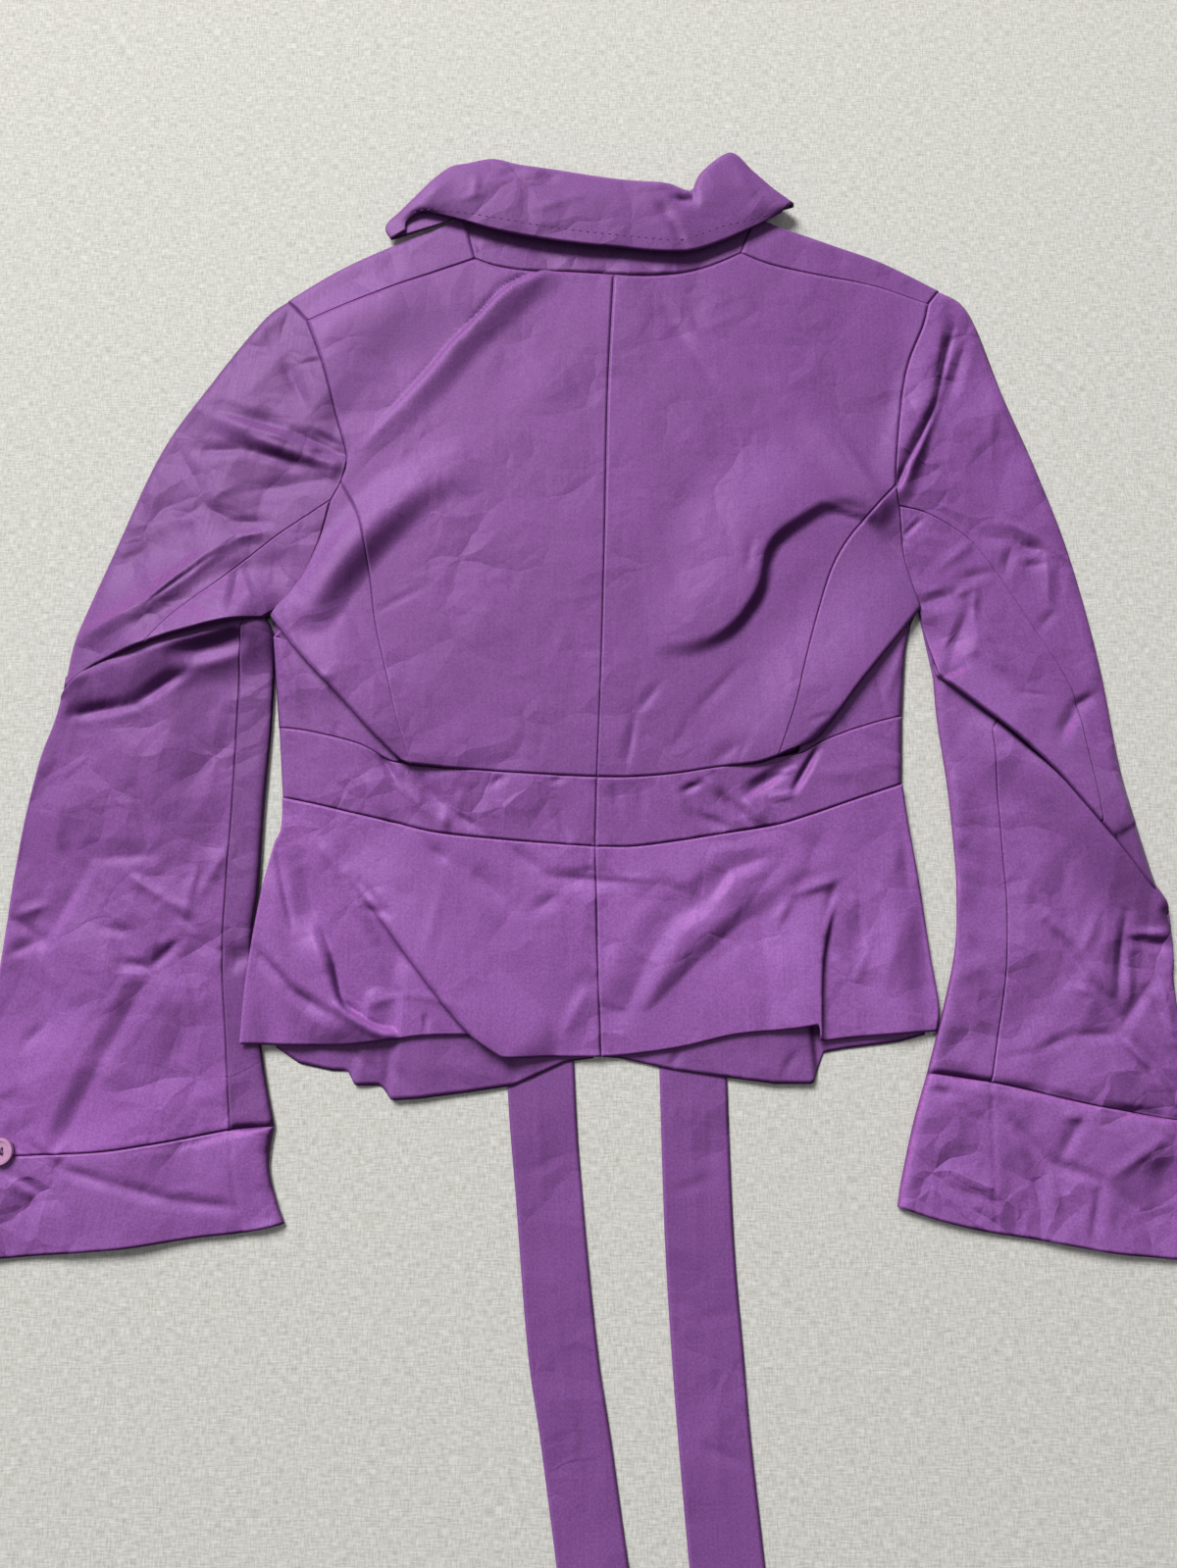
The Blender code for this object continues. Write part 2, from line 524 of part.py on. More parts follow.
    def back_peplum_height(p):
        return max(UPPER + relief("peplum", p), front_peplum_height(p) + 3 * STACK)

    peplum = lay(inset(peplum, "tr"), back_peplum_height)
    wall("peplum_back_" + side, peplum)

    # Tie, sewn to the waistband's lower edge in front and lying on the table
    west, east = curve(m["tie_west"], N_TIE), curve(m["tie_east"], N_TIE)
    tie = patch(even([west[0], east[0]], 2), even([west[-1], east[-1]], 2), west, east)
    wall("tie_" + side, lay(tie, flat(TABLE)))

    # Top sleeve: outer cap on the upper side, the whole underside, and the strip at the inner edge
    cap_edge = curve(m["cap_edge"], N_CAP)
    back_seam = curve(m["back_seam"], N_CAP)
    arm_outer = chain(arm_jog[::-1], arm_up[::-1], arm_top[::-1])
    elbow_outer = curve(m["elbow_outer"], len(arm_outer) - 1)
    cap = rounded(inset(patch(arm_outer, elbow_outer, back_seam, cap_edge), "tl"), "r")
    cap = lay(cap, upper("top"))
    arm_all = chain(arm_top, arm_up, arm_jog, arm_low)
    arm_pit = even(m["arm_pit"], N_CAP)
    elbow_inner = curve(m["elbow_inner"], len(arm_low) - 1)
    elbow = even(chain(elbow_outer[::-1], elbow_inner), len(arm_all) - 1)
    forearm_edge = curve(m["forearm_edge"], N_SLEEVE)
    forearm_inner = curve(m["forearm_inner"], N_SLEEVE)
    cuff_seam, cuff_seam_inner = curve(m["cuff_seam"], N_ARM_LOW), even(m["cuff_seam_inner"], N_INNER)
    cuff_top = chain(cuff_seam, cuff_seam_inner)
    upper_under = rounded(inset(patch(arm_all, elbow, cap_edge, arm_pit), "t"), "lh")
    under_foot = even(cuff_top, len(arm_all) - 1)
    lower_under = patch(elbow, under_foot, elbow[:1] + forearm_edge[1:], forearm_inner)
    underside = lay(upper_under[:-1] + rounded(inset(lower_under, "b"), "lr"), flat(TABLE))
    for r in range(N_CAP + 1):
        underside[r][0] = underside[r][0][:2] + (EDGE,)
        cap[r][-1] = underside[r][0]
    inseam = curve(m["inseam"], N_SLEEVE)
    seam_start = toward(toward(inseam[0], inseam[1], ELBOW_CLEAR), forearm_inner[1], STACK)
    strip_start = toward(elbow_inner[-1], forearm_inner[1], ELBOW_CLEAR)
    inner_top = even([elbow_inner[-1], strip_start, seam_start], N_INNER)
    inner = patch(inner_top, cuff_seam_inner[::-1], forearm_inner, [seam_start] + inseam[1:])
    inner = rounded(inset(inner, "br"), "l")
    inner = lay(inner, upper(side + "_forearm"))
    for r in range(N_SLEEVE + 1):
        underside[N_CAP + r][-1] = underside[N_CAP + r][-1][:2] + (EDGE,)
        inner[r][0] = underside[N_CAP + r][-1]
    wall("top_sleeve_" + side, cap, underside, inner)

    # Under sleeve: from the back seam to the armpit, over the elbow fold, then the forearm to the inseam
    upper_arm = lay(inset(patch(arm_low, elbow_inner, back_seam, arm_pit), "tlr"), upper("top"))
    forearm_top = curve(m["forearm_top"], N_ARM_LOW)
    forearm = inset(patch(forearm_top, cuff_seam, forearm_edge, inseam), "br")
    forearm = lay(forearm, upper(side + "_forearm"))
    for row in forearm[2:]:
        row[0] = row[0][:2] + (TABLE + STACK,)
    drop = [tuple((a + b) / 2 for a, b in zip(e, f)) for e, f in zip(upper_arm[-1], forearm[0])]
    wall("under_sleeve_" + side, upper_arm + [drop] + forearm)

    # Cuff: a flattened ring
    cuff_edge, cuff_inner = even(m["cuff_edge"], N_CUFF), curve(m["cuff_inner"], N_CUFF)
    cuff_hem = curve(m["cuff_hem"], len(cuff_top) - 1)
    cuff_plan = rounded(inset(patch(cuff_top, cuff_hem, cuff_edge, cuff_inner), "t"), "lr")
    cuff_upper = lay(cuff_plan, upper(side + "_cuff"))
    cuff_lower = lay([row[::-1] for row in cuff_plan], flat(TABLE))
    for high, low in zip(cuff_upper, cuff_lower):
        high[0] = high[0][:2] + (EDGE,)
        high[-1] = high[-1][:2] + (EDGE,)
        low[0], low[-1] = high[-1], high[0]
    wall("cuff_" + side, cuff_upper, cuff_lower)

    # Button with a raised rim and four thread holes, on the cuff seam
    bx, by = m["button"]
    seat = UPPER + relief(side + "_cuff", (bx, by)) + CLOTH / 2 + 2 * SEAM_GAP
    top_z, dish_z = BUTTON_THICK, BUTTON_THICK - BUTTON_DISH
    rim_in = BUTTON_RADIUS - BUTTON_RIM
    profile = [(BUTTON_RADIUS - BUTTON_CHAMFER, 0.0), (BUTTON_RADIUS, BUTTON_CHAMFER),
               (BUTTON_RADIUS - BUTTON_CHAMFER / 2, top_z), (rim_in, top_z),
               (rim_in - BUTTON_CHAMFER / 2, dish_z)]
    turns = BUTTON_SIDES
    bm = bmesh.new()
    rings = [[bm.verts.new(((bx + r * math.cos(math.tau * i / turns)) * MM,
                            (by + r * math.sin(math.tau * i / turns)) * MM, (seat + z) * MM))
              for i in range(turns)] for r, z in profile]
    for low, high in zip(rings, rings[1:]):
        for i in range(turns):
            j = (i + 1) % turns
            bm.faces.new((low[i], low[j], high[j], high[i]))
    bm.faces.new(rings[0][::-1])
    bm.faces.new(rings[-1])
    button = finish("button_" + side, bm, BUTTON_SLOT)
    for hx in (-HOLE_OFFSET, HOLE_OFFSET):
        for hy in (-HOLE_OFFSET, HOLE_OFFSET):
            bpy.ops.mesh.primitive_cylinder_add(
                vertices=HOLE_SIDES, radius=HOLE_RADIUS * MM, depth=4 * BUTTON_THICK * MM,
                location=((bx + hx) * MM, (by + hy) * MM, seat * MM))
            drill = bpy.context.object
            cut = button.modifiers.new("hole", "BOOLEAN")
            cut.object = drill
            cut.solver = "EXACT"
            bpy.context.view_layer.objects.active = button
            bpy.ops.object.modifier_apply(modifier=cut.name)
            bpy.data.objects.remove(drill)
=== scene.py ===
# Cropped shawl-collar jacket of shot taffeta, laid out with its back up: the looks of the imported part.
# Tables are in millimetres in the part's own frame, +Z up from the table; left and right as in the picture.
import math

import bmesh
import bpy
import numpy as np
from mathutils import Matrix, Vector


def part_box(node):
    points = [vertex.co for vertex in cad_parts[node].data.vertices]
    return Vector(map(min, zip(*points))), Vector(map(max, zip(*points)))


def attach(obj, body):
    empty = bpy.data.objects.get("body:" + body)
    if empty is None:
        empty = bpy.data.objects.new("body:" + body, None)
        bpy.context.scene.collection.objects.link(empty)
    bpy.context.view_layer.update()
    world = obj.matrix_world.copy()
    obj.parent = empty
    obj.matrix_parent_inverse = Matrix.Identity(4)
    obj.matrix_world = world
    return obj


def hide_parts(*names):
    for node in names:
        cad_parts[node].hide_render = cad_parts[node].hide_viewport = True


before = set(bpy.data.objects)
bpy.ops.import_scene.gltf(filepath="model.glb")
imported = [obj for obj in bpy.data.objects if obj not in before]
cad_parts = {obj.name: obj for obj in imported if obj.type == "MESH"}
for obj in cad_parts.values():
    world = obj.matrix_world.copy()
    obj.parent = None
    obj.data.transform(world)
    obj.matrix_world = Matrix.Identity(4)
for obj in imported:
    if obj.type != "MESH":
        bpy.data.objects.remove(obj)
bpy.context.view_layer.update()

# Shot taffeta: lilac threads one way and magenta the other. The colour is picked by the slope, as painted
# shade and painted highlight. A slope turned down to the right, away from the light, is painted deeper,
# redder and darker than one turned a little up to the left, towards the light, which is painted paler; a
# steep one that way is darker again.
# Slubs run along both threads. All panels are cut from it.
MM = 0.001
# Colours from a slope turned steeply up to the left to one turned down to the right: painted highlight
# towards the light, painted shade away from it
SHOT_AND_SHADE_COLOURS = ("#6A3F78", "#94579F", "#865798", "#7D4C8C", "#371542")
TURNS = (-0.85, -0.42, -0.2, 0.0, 0.36)  # how far the cloth is turned that way at each of its colours
SHADE_WAY = (0.45, -0.75, 0.0)
SHEEN, SHEEN_COLOUR = 0.3, "#E9B7F2"
SLUB_MM, SLUB_LONG_MM, WEFT_SHARE, FLECK_MM, PATCHES_PER_M = 1.1, 45, 0.3, 1.3, 14
SLUB_TONE, FLECK_TONE, PATCH_TONE, SLUB_GLOSS = (0.93, 1.07), (0.84, 1.16), (0.95, 1.05), (0.38, 0.5)
WEAVE_STRENGTH, WEAVE_MM = 0.2, 0.2
CRUMPLES = [(46, 0.16), (20, 0.08)]  # nets of fine creases: size and slope
WANDER_MM, WANDER_BY_MM = 26, 16  # how unevenly the fine creases run
WORN_MM, WORN_FROM, WORN_TO = 60, (0.4, 0.62), (0.15, 1.0)  # places where more of them show
# How much of the fine creases each panel has, and its tone at its top and its hem, which is painted shade and
# painted sheen: darker where a panel lies in shade, as the collar stand under the fall and the under sleeves
# towards their tops, and lighter where the shot cloth catches the light, as the back peplum and the cuffs
PANELS = {
    "cuff_left": (0.85, 1.2, 1.2), "cuff_right": (1.0, 1.25, 1.25),
    "top_sleeve_left": (0.5, 0.8, 0.95), "top_sleeve_right": (0.6, 1.08, 1.15),
    "under_sleeve_left": (0.55, 0.88, 1.5), "under_sleeve_right": (0.7, 1.08, 1.25),
    "waistband_back": (0.7, 1.08, 1.08), "waistband_front": (0.3, 1.0, 1.0), "tie": (0.35, 1.0, 1.0),
    "peplum_back": (0.4, 1.26, 1.3), "peplum_front": (0.4, 1.0, 1.0),
    "collar": (0.35, 0.96, 0.96), "collar_stand": (0.9, 0.85, 0.85), "lapel": (0.3, 1.0, 1.0),
    "side_front": (0.4, 1.0, 1.0), "side_back": (0.3, 0.96, 0.96),
    "front": (0.3, 0.96, 0.96), "back": (0.32, 0.98, 0.98),
}


def linear(colour):
    """An sRGB hex colour for a shader."""
    parts = [int(colour[i:i + 2], 16) / 255 for i in (1, 3, 5)]
    return tuple(v / 12.92 if v <= 0.04045 else ((v + 0.055) / 1.055) ** 2.4 for v in parts) + (1.0,)


def material(name):
    """A new material with its node tree and its shader."""
    made = bpy.data.materials.new(name)
    made.use_nodes = True
    return made, made.node_tree, made.node_tree.nodes["Principled BSDF"]


def add(tree, kind, values=None, **sources):
    """A shader node: values go to its sockets or settings, sources are outputs linked to its sockets."""
    made = tree.nodes.new("ShaderNode" + kind)
    for name, value in (values or {}).items():
        if isinstance(name, int) or name in made.inputs:
            made.inputs[name].default_value = value
        else:
            setattr(made, name, value)
    for name, output in sources.items():
        socket = int(name[1:]) if name[1:].isdigit() else name.replace("_", " ")
        tree.links.new(output, made.inputs[socket])
    return made


def noise(tree, per_metre, detail, place):
    """Soft noise with so many cells in a metre."""
    return add(tree, "TexNoise", {"Scale": per_metre, "Detail": detail}, Vector=place).outputs[0]


def spread(tree, value, to, of=(0.3, 0.7)):
    """A value's range, a noise's usual one if none is given, spread over another."""
    ends = {"From Min": of[0], "From Max": of[1], "To Min": to[0], "To Max": to[1]}
    return add(tree, "MapRange", ends, Value=value).outputs[0]


def times(tree, one, other):
    """The product of two values."""
    return add(tree, "Math", {"operation": "MULTIPLY"}, s0=one, s1=other).outputs[0]


def blended(tree, value, *colours):
    """Two colours blended by a value."""
    made = add(tree, "ValToRGB", Fac=value)
    for mark, colour in zip(made.color_ramp.elements, colours):
        mark.color = linear(colour)
    return made.outputs[0]


taffeta, tree, shader = material("shot_taffeta_cloth")
place = add(tree, "TexCoord").outputs["Object"]
grain = add(tree, "UVMap", {"uv_map": "grain"}).outputs[0]
thin, long = 1 / (SLUB_MM * MM), 1 / (SLUB_LONG_MM * MM)
warp = add(tree, "Mapping", {"Scale": (thin, long, 1)}, Vector=grain).outputs[0]
weft = add(tree, "Mapping", {"Scale": (long, thin, 1)}, Vector=grain).outputs[0]
slub = add(tree, "Mix", {"Factor": WEFT_SHARE},
           s2=noise(tree, 1, 3, warp), s3=noise(tree, 1, 3, weft)).outputs[0]
flecks = noise(tree, 1 / (FLECK_MM * MM), 2, place)
patches = noise(tree, PATCHES_PER_M, 2, place)
wander = add(tree, "TexNoise", {"Scale": 1 / (WANDER_MM * MM), "Detail": 2}, Vector=place).outputs["Color"]
wander_by = (WANDER_BY_MM * MM, WANDER_BY_MM * MM, 0)
wandered = add(tree, "VectorMath", {"operation": "MULTIPLY_ADD", 1: wander_by}, s0=wander, s2=place)
worn = spread(tree, noise(tree, 1 / (WORN_MM * MM), 1, place), WORN_TO, WORN_FROM)
crumpled = times(tree, worn, add(tree, "Attribute", {"attribute_name": "crumpled"}).outputs["Fac"])
normal = None
for size, slope in CRUMPLES:
    cells = add(tree, "TexVoronoi", {"feature": "DISTANCE_TO_EDGE", "Scale": 1 / (size * MM)},
                Vector=wandered.outputs[0])
    dents = add(tree, "Bump", {"Distance": size * slope * MM},
                Height=cells.outputs["Distance"], Strength=crumpled)
    if normal:
        tree.links.new(normal, dents.inputs["Normal"])
    normal = dents.outputs[0]
# Painted shade and highlight: how far the slope turns along SHADE_WAY, away from the light, picks the cloth's
# colour
turn = add(tree, "VectorMath", {"operation": "DOT_PRODUCT", 1: SHADE_WAY}, s0=normal).outputs["Value"]
thread = add(tree, "ValToRGB", Fac=spread(tree, turn, (0, 1), (TURNS[0], TURNS[-1])))
for at in TURNS[1:-1]:
    thread.color_ramp.elements.new((at - TURNS[0]) / (TURNS[-1] - TURNS[0]))
for mark, colour in zip(thread.color_ramp.elements, SHOT_AND_SHADE_COLOURS):
    mark.color = linear(colour)
threads = times(tree, spread(tree, slub, SLUB_TONE), spread(tree, flecks, FLECK_TONE))
# Painted shade and painted sheen: each panel's tone attribute
panel_tone_and_shade = add(tree, "Attribute", {"attribute_name": "tone"}).outputs["Fac"]
tones_and_shade = times(tree, threads, times(tree, spread(tree, patches, PATCH_TONE), panel_tone_and_shade))
colour_and_painted_shade = add(tree, "VectorMath", {"operation": "SCALE"}, s0=thread.outputs[0], Scale=tones_and_shade)
tree.links.new(colour_and_painted_shade.outputs[0], shader.inputs["Base Color"])
tree.links.new(spread(tree, slub, SLUB_GLOSS), shader.inputs["Roughness"])
weave = add(tree, "Bump", {"Strength": WEAVE_STRENGTH, "Distance": WEAVE_MM * MM}, Height=slub, Normal=normal)
tree.links.new(weave.outputs[0], shader.inputs["Normal"])
shader.inputs["Specular IOR Level"].default_value = SHEEN
shader.inputs["Specular Tint"].default_value = linear(SHEEN_COLOUR)

# Fronts: two panels that lie on the table beneath, sewn to the back at the shoulder seam after wrapping
# over the shoulder fold. Each panel is a thin wall about a grid of points between its cut edges.
CELL, FINE_CELL = 2.2, 1.75  # grid steps where the cloth shows, and where it is creased
COARSE_CELL, HIDDEN_CELL = 4.4, 6.0  # where it runs on beneath, and where it is hidden
WALL, LAYER = 0.8, 1.5  # cloth, and one layer on another
LOW, UPPER, EDGE = 0.6, 4.2, 2.4  # middles of the layer on the table, of the upper one and of a side fold
SEAM_HALF, SEAM_SKIP = 0.05, 3  # half the slit that shows at a seam, and the points of it that count
PUCKERS, PUCKER_REACH, PUCKER = (0.9, 1.7, 2.6), 4.0, 0.02  # waves along a seam, their reach and rise
FACETS, FACET_SWAY = [(34, 1.0, 20), (15, 0.3, 50)], 0.35  # nets of dents: size, rise and turn; how uneven
FACET_SEED, FACET_COUNT = 7, 99
DENTED = {  # how much of these dents each stretch of cloth has
    "body": 0.3, "side": 0.4, "tie": 0.4, "band": 0.4, "peplum": 0.5, "stand": 1.6, "collar": 0.4,
    "arm": 1.1, "forearm": 1.7, "underside": 0.5,
}
CREASE_EDGE, CREASE_MOST = 1.5, 3.0  # how sharp a crease is, and the most that creases add up to
CREASE_ENDS, CREASE_TAPER = (0.06, 0.94), 0.7  # how a crease thins out towards its ends
LAPEL_REACH, LAPEL_POINTS, LIFT_FADE = 58, 4, 26  # where the front rises over the lapel
SHOULDER_ROUND = 5
TINY, FAR = 1e-6, 1e9
CUT = {
    "left": {
        "shoulder": [(-72, 369), (-111, 354), (-135, 344), (-177, 326)],
        "shoulder_fold": [(-100, 389), (-126, 378), (-159, 361), (-190, 340)],
        "arm_top": [(-190, 340), (-177, 326)],
        "arm_up": [(-177, 326), (-165, 294), (-156, 261), (-149, 235), (-152, 218)],
        "front_princess": [(-152, 218), (-140, 150), (-135, 52)],
        "front_waist": [(-135, 52), (-81, 39), (-17, 35), (2.8, 34)],
        "neck_end": [(-72, 369), (-80, 398), (-100, 389)],
        "front_edge": [(-100, 389), (-60, 300), (-20, 200), (0, 150), (2.8, 34)],
        "lapel": [(-126, 377), (-112, 330), (-70, 230), (-8, 140)],
    },
    "right": {
        "shoulder": [(97, 373), (115, 365), (143, 358), (181, 350), (214, 337)],
        "shoulder_fold": [(119, 393), (153, 380), (186, 367), (222, 347)],
        "arm_top": [(222, 347), (214, 337)],
        "arm_up": [(214, 337), (210, 322), (199, 294), (192, 259), (188, 230), (187, 215)],
        "front_princess": [(187, 215), (150, 150), (140, 56)],
        "front_waist": [(140, 56), (98, 42), (51, 36), (3.2, 34)],
        "neck_end": [(97, 373), (107, 398), (119, 393)],
        "front_edge": [(119, 393), (78, 300), (32, 200), (8, 150), (3.2, 34)],
        "lapel": [(146, 380), (134, 330), (86, 230), (16, 140)],
    },
}
# Folds, first those at the shoulders that body and sleeves share: path of the crest as x, y, rise, how far it
# fades to the left and right of the path, and how far the crest leans over to the right
SHOULDER_FOLDS = [
    ([(-98, 352, 0.5), (-130, 338, 2.6), (-160, 318, 3.4), (-164, 288, 2.4), (-158, 260, 0)], 46, 24, 0),
    ([(220, 335, 1), (214, 290, 3), (202, 250, 4), (190, 215, 2.4)], 12, 24, -1.5),
]
BODY_FOLDS = [
    ([(-31, 358, 1.5), (-50, 346, 3.4), (-80, 314, 3), (-100, 289, 2.4), (-120, 265, 1.4), (-142, 237, 0)],
     18, 3, 2),
    ([(-69, 230, 0), (-102, 215, 2.8), (-129, 191, 4.8), (-152, 162, 5.2), (-165, 138, 3)], 19, 24, 0),
    ([(74, 311, 0), (116, 278, 1.2), (149, 245, 2.6), (177, 203, 3.4)], 12, 18, 0),
    ([(177, 198, 1.8), (161, 208, 2.6), (143, 207, 3.4), (127, 198, 4.2), (111, 186, 5), (102, 171, 5.6),
      (98, 152, 5.8), (90, 138, 5.2), (80, 127, 4.2), (63, 119, 2.6), (36, 116, 0)], 12, 60, -2),
    ([(-180, 120, 4), (-149, 86, 7), (-108, 43, 5)], 55, 14, 0),
    ([(188, 124, 5), (159, 89, 8), (121, 51, 6)], 14, 64, 0),
    *SHOULDER_FOLDS,
]
# Creases of the body: from x, y to x, y, rise (a trough is negative), how far it fades on its left and right
BODY_CREASES = [
    (-31, 360, -55, 349, -2.0, 3, 5), (-55, 349, -79, 314, -2.0, 3, 5), (-79, 314, -120, 265, -0.9, 4, 6),
    (-27, 359, -39, 347, 0.7, 4, 6), (-163, 93, -150, 94, 0.7, 4, 3), (-161, 87, -152, 92, 0.6, 3, 4),
    (-96, 152, -130, 134, -0.5, 3, 4), (-182, 136, -168, 94, 0.9, 5, 4), (-161, 168, -151, 174, 0.6, 5, 4),
    (-153, 174, -148, 185, 0.3, 4, 5), (-80, 237, -59, 230, 0.2, 3, 3), (-73, 245, -56, 258, 0.1, 3, 3),
    (-59, 257, -59, 232, 0.1, 3, 3), (-15, 209, -0, 226, 0.2, 4, 3), (-41, 195, -23, 188, 0.2, 4, 4),
    (-48, 208, -43, 218, 0.1, 3, 3), (-23, 143, 8, 147, 0.2, 3, 4), (-47, 95, -32, 98, 0.2, 3, 3),
    (-5, 110, 8, 112, -0.3, 3, 3), (-16, 180, -9, 175, 0.1, 3, 3), (-26, 66, -30, 45, -0.3, 4, 5),
    (-46, 167, -45, 149, -0.2, 6, 6), (-71, 106, -57, 100, 0.1, 3, 3), (-80, 52, -67, 53, -0.2, 5, 5),
    (45, 339, 67, 301, -1.1, 9, 11), (67, 301, 78, 283, -0.9, 8, 7), (69, 318, 99, 333, 0.3, 4, 5),
    (28, 313, 42, 307, 0.2, 3, 3), (96, 301, 120, 277, -0.8, 4, 6), (93, 305, 105, 293, 0.5, 5, 4),
    (99, 322, 113, 328, 0.2, 4, 4), (17, 303, 35, 301, 0.2, 3, 4), (53, 352, 92, 348, 0.2, 4, 4),
    (77, 337, 101, 346, 0.2, 4, 4), (87, 311, 107, 307, 0.2, 4, 5), (19, 331, 15, 323, 0.1, 3, 3),
    (143, 261, 171, 210, -1.0, 6, 4), (148, 257, 178, 204, 1.4, 5, 8), (107, 263, 130, 244, 0.3, 7, 7),
    (141, 206, 172, 195, 0.9, 3, 4), (149, 198, 173, 191, -0.7, 3, 4), (43, 91, 28, 72, -0.9, 5, 7),
    (28, 72, 22, 38, -1.0, 4, 7), (91, 102, 60, 70, -0.6, 7, 5), (60, 70, 51, 53, -0.3, 6, 5),
    (31, 58, 40, 61, -0.3, 3, 3), (20, 241, 44, 230, 0.2, 3, 4), (76, 221, 103, 219, 0.2, 3, 4),
    (54, 131, 65, 125, 0.2, 3, 3), (46, 97, 57, 99, -0.2, 3, 3), (72, 42, 92, 56, -1.0, 9, 7),
    (93, 56, 88, 43, -0.6, 4, 4), (173, 192, 194, 163, -1.2, 4, 4), (177, 175, 190, 162, -0.8, 3, 4),
    (120, 152, 132, 142, -0.2, 6, 7), (127, 66, 144, 71, -0.5, 3, 4), (117, 47, 132, 55, -0.8, 4, 4),
    (98, 182, 93, 160, -0.8, 5, 6), (3, 147, 12, 147, 0.2, 3, 3),
]


def reach_along(points):
    """How far along a chain of straight lines each of its points lies."""
    return np.concatenate([[0], np.cumsum(np.linalg.norm(np.diff(points, axis=0), axis=1))])


def even(points, count):
    """Points at even steps along a chain of straight lines."""
    points = np.asarray(points, float)
    far = reach_along(points)
    return np.column_stack([np.interp(np.linspace(0, far[-1], count + 1), far, p) for p in points.T])


def smooth(points, fine=12):
    """A smooth line through the given points."""
    p = np.asarray(points, float)
    ends = np.vstack([p[:1], p, p[-1:]])
    t = np.linspace(0, 1, fine, endpoint=False)[:, None]
    runs = [0.5 * (2 * b + (c - a) * t + (2 * a - 5 * b + 4 * c - d) * t * t
                   + (3 * b - a - 3 * c + d) * t ** 3)
            for a, b, c, d in zip(ends, ends[1:], ends[2:], ends[3:])]
    return np.vstack(runs + [p[-1:]])


def chain(*runs):
    """Runs that meet end to end, as one."""
    return np.vstack([runs[0]] + [run[1:] for run in runs[1:]])


def steps(cell, *lines):
    """How many cells the longest of some lines takes."""
    return max(2, round(max(reach_along(line)[-1] for line in lines) / cell))


def fill(top, bottom, left, right, cell, cols=0, rows=0, bend=2):
    """Plan points between four edges: straight rows, bent near the top and bottom edges."""
    cols, rows = cols or steps(cell, top, bottom), rows or steps(cell, left, right)
    top, bottom = even(top, cols)[None], even(bottom, cols)[None]
    left, right = even(left, rows)[:, None], even(right, rows)[:, None]
    over, down = np.linspace(0, 1, cols + 1)[None, :, None], np.linspace(0, 1, rows + 1)[:, None, None]
    top_bend = top - (1 - over) * top[:, :1] - over * top[:, -1:]
    bottom_bend = bottom - (1 - over) * bottom[:, :1] - over * bottom[:, -1:]
    return (1 - over) * left + over * right + (1 - down) ** bend * top_bend + down ** bend * bottom_bend


def nearest(plan, path):
    """Distance of points to a path, side of it (1 left, -1 right), place along it, and its way right."""
    path = np.asarray(path, float)
    best, side, along = np.full(plan.shape[:-1], FAR), np.zeros(plan.shape[:-1]), np.zeros(plan.shape[:-1])
    right, start = np.zeros(plan.shape), 0.0
    for a, b in zip(path, path[1:]):
        run, long = b - a, math.dist(a, b)
        f = np.clip(((plan - a) @ run) / long ** 2, 0, 1)
        off = plan - a - f[..., None] * run
        d = np.linalg.norm(off, axis=-1)
        closer = d < best
        best = np.where(closer, d, best)
        turn = (run[0] * off[..., 1] - run[1] * off[..., 0]) / long / np.maximum(d, TINY)
        side = np.where(closer, turn, side)
        along = np.where(closer, start + f * long, along)
        right[closer] = (run[1] / long, -run[0] / long)
        start += long
    return best, side, along, right


def rotated(plan, angle):
    """Plan points turned about the origin by some degrees."""
    c, s = math.cos(math.radians(angle)), math.sin(math.radians(angle))
    return plan @ np.array([[c, -s], [s, c]])


def facets(plan):
    """Uneven crisp dents, the same for all panels: flat triangles between points of seeded heights."""
    heights = np.random.default_rng(FACET_SEED).uniform(-1, 1, (len(FACETS), FACET_COUNT, FACET_COUNT))
    total = np.zeros(plan.shape[:-1])
    for net, (size, rise, angle) in zip(heights, FACETS):
        swayed = plan + size * FACET_SWAY * np.sin(plan[..., ::-1] / size + angle)
        at = rotated(swayed, angle) / size + FACET_COUNT // 2
        i, j = np.floor(at).astype(int)[..., 0], np.floor(at).astype(int)[..., 1]
        near, far = (at % 1).min(-1), (at % 1).max(-1)
        first = (at % 1)[..., 0] > (at % 1)[..., 1]
        corner = np.where(first, net[i + 1, j], net[i, j + 1])
        total += rise * (net[i, j] * (1 - far) + corner * (far - near) + net[i + 1, j + 1] * near)
    return total


def reach_on(side, left, right):
    """How far a fold or crease reaches, from its reach on the left and on the right."""
    return (left + right) / 2 + (left - right) / 2 * side


